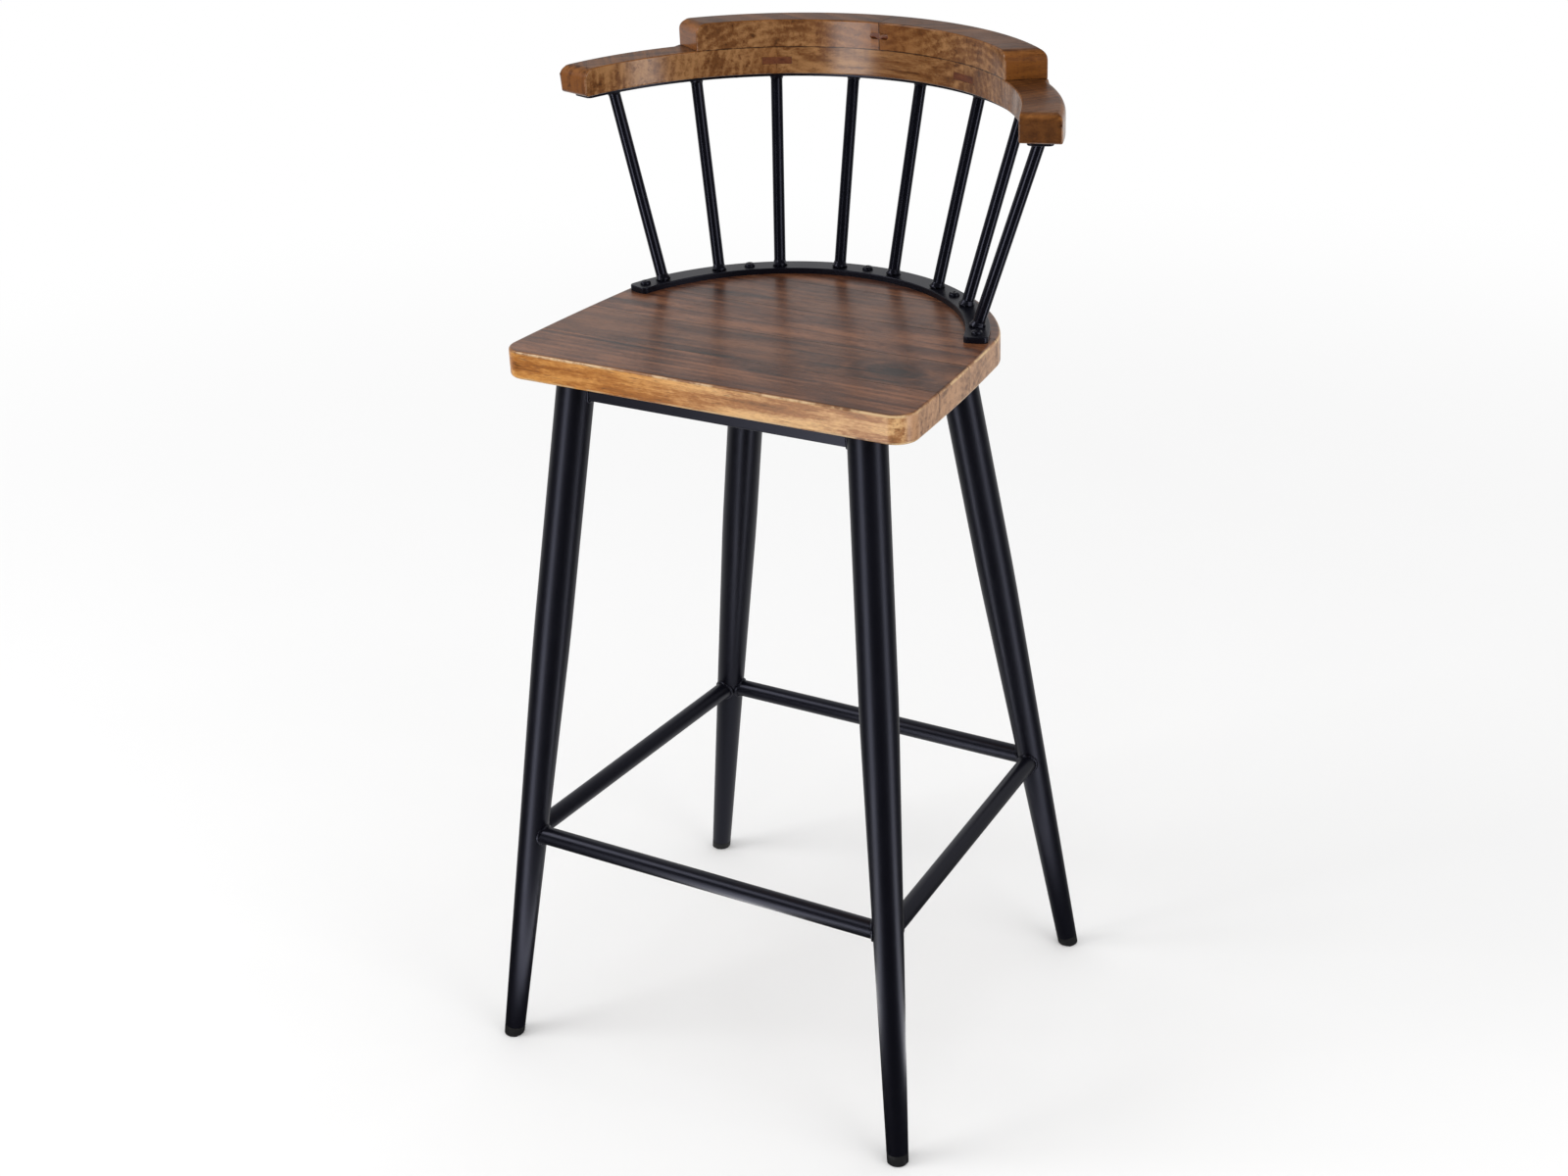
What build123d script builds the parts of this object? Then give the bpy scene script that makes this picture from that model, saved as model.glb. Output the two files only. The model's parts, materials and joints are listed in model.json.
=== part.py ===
from build123d import *
import os
from math import cos, hypot, radians, sin

# Bar stool with a footrest and a low curved back.
# Millimetres. The origin is on the floor under the middle of the stool, +Z is up, +Y points
# to the back and +X is to the right as seen from the front.

# ---- Driving dimensions ----------------------------------------------------------------

# Seat
seat_height = 762
seat_thickness = 29
seat_front_y = -166.5
seat_front_half_width = 221.5
seat_side_half_width = 215.5
seat_side_y = -53
seat_back_corner = (204, 60)
seat_arc_centre_y = -26
seat_back_radius = 222
seat_front_corner_radius = 22
seat_back_corner_radius = 60
seat_edge_round = 3
board_joints_y = (-98.5, -26.5, 49.5, 125.5)

# Legs: round tubes, straight above the taper, that lean out to the feet
front_foot = (234, -238.5)
front_leg_top = (159.5, -127.5)
rear_foot = (230, 186.5)
rear_leg_top = (114.5, 130)
leg_diameter = 38
foot_diameter = 21.5
taper_height = 458
leg_wall = 1.5

# Glides in the leg ends
glide_height = 10
glide_edge_round = 2
glide_stem_clearance = 0.4
glide_stem_length = 22

# Footrest bars and the rails under the seat
footrest_height = 240
footrest_diameter = 19
footrest_wall = 1.5
seat_rail_depth = 24
seat_rail_width = 12
seat_rail_wall = 1.5
seat_rail_corner = 1.5
weld_size = 3

# Tabs that hold the seat on its frame
tab_thickness = 3
tab_width = 30
tab_length = 32
front_tab_x = 80
rear_tab_x = 55
side_tab_y = 0
tab_hole_inset = 18

# Flat bars at the foot and the head of the spindles
lower_band_inner_radius = 188
lower_band_outer_radius = 212
lower_band_thickness = 6
lower_band_half_angle = 73.5
upper_band_inner_radius = 251
upper_band_outer_radius = 276
upper_band_thickness = 4
upper_band_half_angle = 72.5
band_corner_radius = 5
band_edge_round = 1

# Spindles: angles from the middle of the back, for one side
spindle_diameter = 12
spindle_base_angles = (9.0, 27.3, 45.6, 63.8)
spindle_top_angles = (8.4, 26.1, 44.2, 64.0)
spindle_weld_height = 6
spindle_weld_width = 3

# Wooden back rail: a long lower layer (arms and centre) under a shorter crest
rail_arc_centre_y = -35.5
rail_inner_radius = 245
rail_outer_radius = 285
rail_bottom = 959
arm_height = 27.5
crest_height = 27.5
arm_half_angle = 74.4
arm_joint_angle = 25.5
crest_half_angle = 44.5
crest_end_cut_angle = 31.9
rail_outer_round = 8
rail_end_round = 9
key_depth = 12
arm_key_size = (30, 7)
crest_key_size = (20, 6)
blank_half_angle = 89

# Screws
lower_screw_angles = (-70, -36.4, 0, 36.4, 70)
lower_screw_head_diameter = 11
lower_screw_head_height = 3.4
lower_screw_shank_diameter = 5
lower_screw_depth = 22
upper_screw_angles = (-69.5, -53.8, -35, -17.3, 0, 17.3, 35, 53.8, 69.5)
upper_screw_head_diameter = 9
upper_screw_head_height = 2.2
upper_screw_shank_diameter = 4
upper_screw_depth = 16
seat_screw_head_diameter = 9
seat_screw_head_height = 3
seat_screw_shank_diameter = 4.5
seat_screw_depth = 18
recess_width = 1.4
recess_share_of_head = 0.5
rounding_share_of_head_height = 0.75
tip_chamfer_share_of_shank = 0.3

# ---- Worked out from the driving dimensions --------------------------------------------

seat_underside = seat_height - seat_thickness
lower_band_top = seat_height + lower_band_thickness
upper_band_underside = rail_bottom - upper_band_thickness
arm_top = rail_bottom + arm_height
crest_top = arm_top + crest_height
lower_shank_length = lower_band_thickness + lower_screw_depth
upper_shank_length = upper_band_thickness + upper_screw_depth
seat_shank_length = tab_thickness + seat_screw_depth
lower_band_mid_radius = (lower_band_inner_radius + lower_band_outer_radius) / 2
upper_band_mid_radius = (upper_band_inner_radius + upper_band_outer_radius) / 2
seat_rail_height = seat_underside - seat_rail_depth / 2
overlong = 60
sides = {"left": -1, "right": 1}
ends = {"front": (front_foot, front_leg_top), "rear": (rear_foot, rear_leg_top)}

os.makedirs("parts", exist_ok=True)


def save(builder, name):
    """Label a finished piece and write it as one STEP file."""
    builder.part.label = name
    export_step(builder.part, f"parts/{name}.step")


def on_arc(centre_y, radius, angle, height=0):
    """A point on an arc about the Z direction; the angle is from the back, positive to +X."""
    turn = radians(angle)
    return Vector(radius * sin(turn), centre_y + radius * cos(turn), height)


def ring_sector(centre_y, inner_radius, outer_radius, from_angle, to_angle):
    """The plan of a curved bar between two angles from the back."""
    with BuildSketch() as sector:
        with BuildLine():
            start = 90 - to_angle
            sweep = to_angle - from_angle
            outer_edge = CenterArc((0, centre_y), outer_radius, start, sweep)
            inner_edge = CenterArc((0, centre_y), inner_radius, start, sweep)
            Line(outer_edge @ 0, inner_edge @ 0)
            Line(outer_edge @ 1, inner_edge @ 1)
        make_face()
    return sector.sketch


# ---- Legs and glides -------------------------------------------------------------------


def leg_point(end, side, height):
    """The point of a leg's axis at a height above the floor."""
    foot, top = ends[end]
    part_way = height / seat_underside
    x = foot[0] + (top[0] - foot[0]) * part_way
    y = foot[1] + (top[1] - foot[1]) * part_way
    return Vector(sides[side] * x, y, height)


def leg_plane(end, side):
    """A plane at the floor end of a leg, with its Z along the leg."""
    foot = leg_point(end, side, 0)
    top = leg_point(end, side, seat_underside)
    return Plane(origin=foot, z_dir=top - foot)


def leg_stretch(end, side):
    """Length along a leg for one millimetre of height."""
    foot = leg_point(end, side, 0)
    top = leg_point(end, side, seat_underside)
    return (top - foot).length / seat_underside


def leg_form(end, side, growth):
    """The solid form of a leg with its radius changed by the growth, longer than the leg."""
    taper_length = taper_height * leg_stretch(end, side)
    straight_length = (seat_underside - taper_height) * leg_stretch(end, side) + overlong
    foot_radius = foot_diameter / 2 + growth
    leg_radius = leg_diameter / 2 + growth
    on_start = (Align.CENTER, Align.CENTER, Align.MIN)
    with BuildPart(leg_plane(end, side)) as form:
        Cone(foot_radius, leg_radius, taper_length, align=on_start)
        with Locations((0, 0, taper_length)):
            Cylinder(leg_radius, straight_length, align=on_start)
        with Locations((0, 0, -overlong)):
            Cylinder(foot_radius, overlong, align=on_start)
    return form.part


corners = [(end, side) for end in ends for side in sides]
leg_solids = {corner: leg_form(*corner, 0) for corner in corners}
leg_bores = {corner: leg_form(*corner, -leg_wall) for corner in corners}
leg_envelopes = {corner: leg_form(*corner, weld_size) for corner in corners}

for end, side in corners:
    with BuildPart() as leg:
        add(leg_solids[end, side])
        add(leg_bores[end, side], mode=Mode.SUBTRACT)
        split(bisect_by=Plane.XY.offset(seat_underside), keep=Keep.BOTTOM)
        split(bisect_by=leg_plane(end, side).offset(glide_height), keep=Keep.TOP)
    save(leg, f"leg_{end}_{side}")

    with BuildPart() as glide:
        add(leg_solids[end, side])
        split(bisect_by=leg_plane(end, side).offset(glide_height), keep=Keep.BOTTOM)
        split(bisect_by=Plane.XY, keep=Keep.TOP)
        fillet(glide.faces().sort_by(Axis.Z)[0].edges(), glide_edge_round)
        with BuildSketch(leg_plane(end, side).offset(glide_height)):
            Circle(foot_diameter / 2 - leg_wall - glide_stem_clearance)
        extrude(amount=glide_stem_length)
    save(glide, f"glide_{end}_{side}")

# ---- Footrest --------------------------------------------------------------------------


def bar_plane(first_corner, second_corner, height):
    """A plane at the first leg's axis, with its Z towards the second leg and its Y up."""
    start = leg_point(*first_corner, height)
    finish = leg_point(*second_corner, height)
    along = (finish - start).normalized()
    return Plane(origin=start, x_dir=Vector(0, 0, 1).cross(along), z_dir=along)


def bar_length(first_corner, second_corner, height):
    """Distance between two legs' axes at a height."""
    return (leg_point(*second_corner, height) - leg_point(*first_corner, height)).length


spans = {
    "front": (("front", "left"), ("front", "right")),
    "rear": (("rear", "left"), ("rear", "right")),
    "left": (("front", "left"), ("rear", "left")),
    "right": (("front", "right"), ("rear", "right")),
}

for place, (first, second) in spans.items():
    length = bar_length(first, second, footrest_height)
    with BuildPart() as footrest_bar:
        with BuildSketch(bar_plane(first, second, footrest_height)):
            Circle(footrest_diameter / 2)
            Circle(footrest_diameter / 2 - footrest_wall, mode=Mode.SUBTRACT)
        extrude(amount=length)
        add(leg_solids[first], mode=Mode.SUBTRACT)
        add(leg_solids[second], mode=Mode.SUBTRACT)
    save(footrest_bar, f"footrest_{place}")


def solid_bar(section, first, second, height):
    """A bar filled solid, from one leg's axis to the other's."""
    with BuildPart() as bar:
        with BuildSketch(bar_plane(first, second, height)):
            add(section)
        extrude(amount=bar_length(first, second, height))
    return bar.part


def weld_beads(section, fat_section, height):
    """The beads round both ends of all four bars at a height, where they meet the legs."""
    with BuildPart() as all_legs:
        for corner in corners:
            add(leg_envelopes[corner])
    with BuildPart() as beads:
        for first, second in spans.values():
            add(solid_bar(fat_section, first, second, height))
        add(all_legs.part, mode=Mode.INTERSECT)
        for first, second in spans.values():
            add(solid_bar(section, first, second, height), mode=Mode.SUBTRACT)
        for corner in corners:
            add(leg_solids[corner], mode=Mode.SUBTRACT)
    return beads.part


with BuildSketch() as bar_section:
    Circle(footrest_diameter / 2)
with BuildSketch() as fat_bar_section:
    Circle(footrest_diameter / 2 + weld_size)

with BuildPart() as footrest_welds:
    add(weld_beads(bar_section.sketch, fat_bar_section.sketch, footrest_height))
save(footrest_welds, "footrest_welds")

# ---- Frame under the seat --------------------------------------------------------------

with BuildSketch() as rail_section:
    RectangleRounded(seat_rail_width, seat_rail_depth, seat_rail_corner)
with BuildSketch() as fat_rail_section:
    RectangleRounded(
        seat_rail_width + 2 * weld_size,
        seat_rail_depth + 2 * weld_size,
        seat_rail_corner + weld_size,
    )

for place, (first, second) in spans.items():
    length = bar_length(first, second, seat_rail_height)
    with BuildPart() as seat_rail:
        with BuildSketch(bar_plane(first, second, seat_rail_height)):
            add(rail_section.sketch)
            Rectangle(
                seat_rail_width - 2 * seat_rail_wall,
                seat_rail_depth - 2 * seat_rail_wall,
                mode=Mode.SUBTRACT,
            )
        extrude(amount=length)
        add(leg_solids[first], mode=Mode.SUBTRACT)
        add(leg_solids[second], mode=Mode.SUBTRACT)
    save(seat_rail, f"seat_rail_{place}")

with BuildPart() as seat_rail_welds:
    add(weld_beads(rail_section.sketch, fat_rail_section.sketch, seat_rail_height))
    split(bisect_by=Plane.XY.offset(seat_underside), keep=Keep.BOTTOM)
save(seat_rail_welds, "seat_rail_welds")

# Each tab is a plate that runs inwards from a rail's inner face; its hole takes one screw.
front_rail_inner_y = leg_point("front", "left", seat_rail_height).Y + seat_rail_width / 2
rear_rail_inner_y = leg_point("rear", "left", seat_rail_height).Y - seat_rail_width / 2
front_side_axis = leg_point("front", "right", seat_rail_height)
rear_side_axis = leg_point("rear", "right", seat_rail_height)
side_run = rear_side_axis - front_side_axis
side_lean = side_run.X / side_run.Y
side_rail_inner_x = (
    front_side_axis.X
    + side_lean * (side_tab_y - front_side_axis.Y)
    - seat_rail_width / 2 * hypot(1, side_lean)
)
tab_places = []
for sign in sides.values():
    front_spot = (sign * front_tab_x, front_rail_inner_y, seat_underside)
    rear_spot = (sign * rear_tab_x, rear_rail_inner_y, seat_underside)
    side_spot = (sign * side_rail_inner_x, side_tab_y, seat_underside)
    tab_places.append(Location(front_spot, (0, 0, 0)))
    tab_places.append(Location(rear_spot, (0, 0, 180)))
    tab_places.append(Location(side_spot, (0, 0, sign * 90)))
tab_holes = [place * Location((0, tab_hole_inset, 0)) for place in tab_places]

with BuildPart() as mounting_tabs:
    with Locations(*tab_places):
        Box(tab_width, tab_length, tab_thickness, align=(Align.CENTER, Align.MIN, Align.MAX))
    with Locations(*tab_holes):
        Cylinder(seat_screw_shank_diameter / 2, 2 * tab_thickness, mode=Mode.SUBTRACT)
    for first, second in spans.values():
        add(solid_bar(rail_section.sketch, first, second, seat_rail_height), mode=Mode.SUBTRACT)
save(mounting_tabs, "mounting_tabs")

# ---- Screws ----------------------------------------------------------------------------


def round_head_screw(head_diameter, head_height, shank_diameter, shank_length):
    """A screw that points down, with the underside of its head at the origin."""
    with BuildPart() as screw:
        Cylinder(head_diameter / 2, head_height, align=(Align.CENTER, Align.CENTER, Align.MIN))
        fillet(screw.faces().sort_by(Axis.Z)[-1].edges(), head_height * rounding_share_of_head_height)
        with Locations((0, 0, head_height)):
            Box(head_diameter * recess_share_of_head, recess_width, head_height, mode=Mode.SUBTRACT)
            Box(recess_width, head_diameter * recess_share_of_head, head_height, mode=Mode.SUBTRACT)
        Cylinder(shank_diameter / 2, shank_length, align=(Align.CENTER, Align.CENTER, Align.MAX))
        chamfer(screw.faces().sort_by(Axis.Z)[0].edges(), shank_diameter * tip_chamfer_share_of_shank)
    return screw.part


lower_screw_points = [
    on_arc(seat_arc_centre_y, lower_band_mid_radius, angle, lower_band_top)
    for angle in lower_screw_angles
]
upper_screw_points = [
    on_arc(rail_arc_centre_y, upper_band_mid_radius, angle, upper_band_underside)
    for angle in upper_screw_angles
]
seat_screw_points = [place.position - Vector(0, 0, tab_thickness) for place in tab_holes]

with BuildPart() as lower_band_screws:
    with Locations(*lower_screw_points):
        add(
            round_head_screw(
                lower_screw_head_diameter,
                lower_screw_head_height,
                lower_screw_shank_diameter,
                lower_shank_length,
            )
        )
save(lower_band_screws, "lower_band_screws")

with BuildPart() as upper_band_screws:
    with Locations(*[Location(point, (180, 0, 0)) for point in upper_screw_points]):
        add(
            round_head_screw(
                upper_screw_head_diameter,
                upper_screw_head_height,
                upper_screw_shank_diameter,
                upper_shank_length,
            )
        )
save(upper_band_screws, "upper_band_screws")

with BuildPart() as seat_screws:
    with Locations(*[Location(point, (180, 0, 0)) for point in seat_screw_points]):
        add(
            round_head_screw(
                seat_screw_head_diameter,
                seat_screw_head_height,
                seat_screw_shank_diameter,
                seat_shank_length,
            )
        )
save(seat_screws, "seat_screws")

# ---- Seat ------------------------------------------------------------------------------

with BuildPart() as seat_blank:
    with BuildSketch(Plane.XY.offset(seat_underside)) as seat_plan:
        with BuildLine():
            front_left = (-seat_front_half_width, seat_front_y)
            front_right = (seat_front_half_width, seat_front_y)
            back_left = (-seat_back_corner[0], seat_back_corner[1])
            Line(front_left, front_right)
            ThreePointArc(front_right, (seat_side_half_width, seat_side_y), seat_back_corner)
            ThreePointArc(seat_back_corner, (0, seat_arc_centre_y + seat_back_radius), back_left)
            ThreePointArc(back_left, (-seat_side_half_width, seat_side_y), front_left)
        make_face()
        by_depth = seat_plan.vertices().group_by(Axis.Y)
        fillet(by_depth[0], seat_front_corner_radius)
        back_corners = seat_plan.vertices().filter_by_position(Axis.Y, 0, seat_back_corner[1] + 1)
        fillet(back_corners, seat_back_corner_radius)
    extrude(amount=seat_thickness)
    rims = seat_blank.faces().filter_by(Axis.Z).edges()
    fillet(rims, seat_edge_round)
    with Locations(*lower_screw_points):
        Cylinder(lower_screw_shank_diameter / 2, 2 * lower_shank_length, mode=Mode.SUBTRACT)
    with Locations(*seat_screw_points):
        Cylinder(seat_screw_shank_diameter / 2, 2 * seat_shank_length, mode=Mode.SUBTRACT)

ahead_of_seat = seat_front_y - overlong
behind_seat = seat_arc_centre_y + seat_back_radius + overlong
board_edges = (ahead_of_seat, *board_joints_y, behind_seat)
for number, (front_edge, back_edge) in enumerate(zip(board_edges, board_edges[1:]), start=1):
    with BuildPart() as board:
        add(seat_blank.part)
        split(bisect_by=Plane.XZ.offset(-front_edge), keep=Keep.BOTTOM)
        split(bisect_by=Plane.XZ.offset(-back_edge), keep=Keep.TOP)
    save(board, f"seat_board_{number}")

# ---- Bands -----------------------------------------------------------------------------

with BuildPart() as lower_band:
    with BuildSketch(Plane.XY.offset(seat_height)):
        add(
            ring_sector(
                seat_arc_centre_y,
                lower_band_inner_radius,
                lower_band_outer_radius,
                -lower_band_half_angle,
                lower_band_half_angle,
            )
        )
    extrude(amount=lower_band_thickness)
    fillet(lower_band.edges().filter_by(Axis.Z), band_corner_radius)
    fillet(lower_band.faces().sort_by(Axis.Z)[-1].edges(), band_edge_round)
    with Locations(*lower_screw_points):
        Cylinder(lower_screw_shank_diameter / 2, 4 * lower_band_thickness, mode=Mode.SUBTRACT)
save(lower_band, "lower_band")

with BuildPart() as upper_band:
    with BuildSketch(Plane.XY.offset(upper_band_underside)):
        add(
            ring_sector(
                rail_arc_centre_y,
                upper_band_inner_radius,
                upper_band_outer_radius,
                -upper_band_half_angle,
                upper_band_half_angle,
            )
        )
    extrude(amount=upper_band_thickness)
    fillet(upper_band.edges().filter_by(Axis.Z), band_corner_radius)
    fillet(upper_band.faces().sort_by(Axis.Z)[0].edges(), band_edge_round)
    with Locations(*upper_screw_points):
        Cylinder(upper_screw_shank_diameter / 2, 4 * upper_band_thickness, mode=Mode.SUBTRACT)
save(upper_band, "upper_band")

# ---- Spindles --------------------------------------------------------------------------

base_angles = sorted([-angle for angle in spindle_base_angles] + list(spindle_base_angles))
top_angles = sorted([-angle for angle in spindle_top_angles] + list(spindle_top_angles))
spindle_ends = []
for base_angle, top_angle in zip(base_angles, top_angles):
    base = on_arc(seat_arc_centre_y, lower_band_mid_radius, base_angle, lower_band_top)
    top = on_arc(rail_arc_centre_y, upper_band_mid_radius, top_angle, upper_band_underside)
    spindle_ends.append((base, top))

spindle_radius = spindle_diameter / 2
rods = []
for base, top in spindle_ends:
    with BuildPart() as rod:
        with BuildSketch(Plane(origin=base, z_dir=top - base).offset(-spindle_diameter)):
            Circle(spindle_radius)
        extrude(amount=(top - base).length + 2 * spindle_diameter)
        split(bisect_by=Plane.XY.offset(lower_band_top), keep=Keep.TOP)
        split(bisect_by=Plane.XY.offset(upper_band_underside), keep=Keep.BOTTOM)
    rods.append(rod.part)
    save(rod, f"spindle_{len(rods)}")


def spindle_collar(end_plane, side_plane, kept):
    """A weld collar about a spindle's end, cut flat where it meets the band.

    The cone is centred on the end, so the half that stays is as wide as it should be there.
    """
    with BuildPart(end_plane) as collar:
        Cone(spindle_radius + 2 * spindle_weld_width, spindle_radius, 2 * spindle_weld_height)
        split(bisect_by=side_plane, keep=kept)
    return collar.part


with BuildPart() as spindle_base_welds:
    for base, top in spindle_ends:
        foot_plane = Plane(origin=base, z_dir=top - base)
        add(spindle_collar(foot_plane, Plane.XY.offset(lower_band_top), Keep.TOP))
    for rod in rods:
        add(rod, mode=Mode.SUBTRACT)
save(spindle_base_welds, "spindle_base_welds")

with BuildPart() as spindle_top_welds:
    for base, top in spindle_ends:
        head_plane = Plane(origin=top, z_dir=base - top)
        add(spindle_collar(head_plane, Plane.XY.offset(upper_band_underside), Keep.BOTTOM))
    for rod in rods:
        add(rod, mode=Mode.SUBTRACT)
save(spindle_top_welds, "spindle_top_welds")

# ---- Back rail -------------------------------------------------------------------------


def mirrored(vector):
    """The same vector on the left-hand side."""
    return Vector(-vector.X, vector.Y, vector.Z)


def between_ends(end_plane, blank):
    """Cut a blank off at a plane on the right and at its mirror image on the left."""
    left_plane = Plane(origin=mirrored(end_plane.origin), z_dir=mirrored(end_plane.z_dir))
    with BuildPart() as piece:
        add(blank)
        split(bisect_by=end_plane, keep=Keep.TOP)
        split(bisect_by=left_plane, keep=Keep.TOP)
    return piece.part


def rail_plan():
    """The plan of the back rail before its ends are cut."""
    return ring_sector(
        rail_arc_centre_y, rail_inner_radius, rail_outer_radius, -blank_half_angle, blank_half_angle
    )


def square_layer(bottom, height, end_plane):
    """A layer of the back rail with square edges."""
    with BuildPart() as layer:
        with BuildSketch(Plane.XY.offset(bottom)):
            add(rail_plan())
        extrude(amount=height)
    return between_ends(end_plane, layer.part)


def end_round_cut(inner_corner, outward, across, top):
    """What is cut away to round the top edge of a layer's end.

    The end face stands on the inner corner; outward is its normal and across runs along it.
    """
    reach = 3 * rail_end_round
    centre = inner_corner - outward * rail_end_round + Vector(0, 0, top - rail_end_round)
    middle = centre + (outward + Vector(0, 0, 1)) * (reach / 2)
    with BuildPart(Plane(origin=middle, x_dir=outward, z_dir=Vector(0, 0, 1))) as cut:
        Box(reach, 3 * overlong, reach)
        with BuildSketch(Plane(origin=centre - across * 2 * overlong, z_dir=across)):
            Circle(rail_end_round)
        extrude(amount=4 * overlong, mode=Mode.SUBTRACT)
    return cut.part


def shaped_layer(bottom, height, end_plane):
    """A layer of the back rail with its outer top edge and its end tops rounded."""
    with BuildPart() as layer:
        add(square_layer(bottom, height, end_plane))
        top_arcs = layer.faces().sort_by(Axis.Z)[-1].edges().filter_by(GeomType.CIRCLE)
        fillet(top_arcs.sort_by(SortBy.RADIUS)[-1], rail_outer_round)
        corner = end_plane.origin
        outward = -end_plane.z_dir
        across = end_plane.x_dir
        add(end_round_cut(corner, outward, across, bottom + height), mode=Mode.SUBTRACT)
        add(
            end_round_cut(mirrored(corner), mirrored(outward), mirrored(across), bottom + height),
            mode=Mode.SUBTRACT,
        )
    return layer.part


arm_end_plane = Plane(
    origin=on_arc(rail_arc_centre_y, rail_inner_radius, arm_half_angle),
    x_dir=on_arc(0, 1, arm_half_angle),
    z_dir=on_arc(0, 1, arm_half_angle - 90),
)
crest_across = Vector(cos(radians(crest_end_cut_angle)), sin(radians(crest_end_cut_angle)), 0)
crest_end_plane = Plane(
    origin=on_arc(rail_arc_centre_y, rail_inner_radius, crest_half_angle),
    x_dir=crest_across,
    z_dir=Vector(-crest_across.Y, crest_across.X, 0),
)

crest_blank = shaped_layer(arm_top, crest_height, crest_end_plane)
with BuildPart() as arm_blank:
    add(shaped_layer(rail_bottom, arm_height, arm_end_plane))
    add(square_layer(rail_bottom, arm_height, crest_end_plane))
    with Locations(*upper_screw_points):
        Cylinder(upper_screw_shank_diameter / 2, 2 * upper_shank_length, mode=Mode.SUBTRACT)


def joint_plane(angle):
    """A vertical plane across the back rail that faces the middle of the back."""
    towards_middle = -90 if angle > 0 else 90
    return Plane(origin=(0, rail_arc_centre_y, 0), z_dir=on_arc(0, 1, angle + towards_middle))


def key_plane(angle, height):
    """A plane just inside the back rail's inner face, with its Z pointing into the wood."""
    place = on_arc(rail_arc_centre_y, rail_inner_radius - key_depth, angle, height)
    return Plane(origin=place, x_dir=on_arc(0, 1, angle + 90), z_dir=on_arc(0, 1, angle))


with BuildPart() as rail_keys:
    for angle in (-arm_joint_angle, arm_joint_angle):
        with BuildSketch(key_plane(angle, rail_bottom + arm_height / 2)):
            Rectangle(*arm_key_size)
        extrude(amount=2 * key_depth)
    with BuildSketch(key_plane(0, arm_top + crest_height / 2)):
        SlotOverall(*crest_key_size)
    extrude(amount=2 * key_depth)
    with BuildSketch(Plane.XY.offset(rail_bottom)):
        add(rail_plan())
    extrude(amount=arm_height + crest_height, mode=Mode.INTERSECT)
save(rail_keys, "rail_keys")

with BuildPart() as rail_centre:
    add(arm_blank.part)
    for angle in (-arm_joint_angle, arm_joint_angle):
        split(bisect_by=joint_plane(angle), keep=Keep.TOP)
    add(rail_keys.part, mode=Mode.SUBTRACT)
save(rail_centre, "rail_centre")

for side, sign in sides.items():
    with BuildPart() as arm:
        add(arm_blank.part)
        split(bisect_by=joint_plane(sign * arm_joint_angle), keep=Keep.BOTTOM)
        add(rail_keys.part, mode=Mode.SUBTRACT)
    save(arm, f"arm_{side}")

    with BuildPart() as crest:
        add(crest_blank)
        split(bisect_by=Plane.YZ, keep=Keep.TOP if sign > 0 else Keep.BOTTOM)
        add(rail_keys.part, mode=Mode.SUBTRACT)
    save(crest, f"crest_{side}")
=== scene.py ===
import json
from math import atan2, cos, pi, radians, sin

import bmesh
import bpy
from bpy.props import FloatProperty, FloatVectorProperty, PointerProperty
from bpy.types import Operator, Panel, PropertyGroup
from mathutils import Matrix, Vector

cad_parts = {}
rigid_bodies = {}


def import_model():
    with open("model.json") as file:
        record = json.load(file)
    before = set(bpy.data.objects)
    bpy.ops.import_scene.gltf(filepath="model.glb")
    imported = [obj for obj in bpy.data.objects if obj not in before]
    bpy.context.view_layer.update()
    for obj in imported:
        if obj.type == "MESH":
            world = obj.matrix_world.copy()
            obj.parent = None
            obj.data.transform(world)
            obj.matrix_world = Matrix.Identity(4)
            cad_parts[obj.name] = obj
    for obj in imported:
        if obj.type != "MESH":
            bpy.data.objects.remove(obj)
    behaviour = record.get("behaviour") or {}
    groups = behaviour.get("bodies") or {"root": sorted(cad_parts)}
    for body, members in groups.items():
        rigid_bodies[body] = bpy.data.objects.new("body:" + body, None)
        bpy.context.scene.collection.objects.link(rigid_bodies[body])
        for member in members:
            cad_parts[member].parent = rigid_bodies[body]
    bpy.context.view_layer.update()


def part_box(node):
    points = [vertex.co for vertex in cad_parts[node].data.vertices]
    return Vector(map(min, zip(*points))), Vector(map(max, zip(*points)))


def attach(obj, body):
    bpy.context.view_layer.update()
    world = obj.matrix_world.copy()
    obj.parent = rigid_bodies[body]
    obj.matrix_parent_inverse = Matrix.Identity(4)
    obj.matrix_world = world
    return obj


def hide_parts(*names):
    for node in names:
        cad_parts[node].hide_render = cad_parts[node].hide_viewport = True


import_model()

bl_info = {
    "name": "Bar Stool Builder",
    "version": (1, 0, 0),
    "blender": (4, 5, 0),
    "location": "3D View > Sidebar > Stool",
    "description": "Models a bar stool with a plank seat, a curved wooden back and a steel frame",
    "category": "Add Mesh",
}

MM = 0.001
CORNERS = [(end, side) for end in ("front", "rear") for side in ("left", "right")]
SPANS = {
    "front": (("front", "left"), ("front", "right")),
    "rear": (("rear", "left"), ("rear", "right")),
    "left": (("front", "left"), ("rear", "left")),
    "right": (("front", "right"), ("rear", "right")),
}

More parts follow.
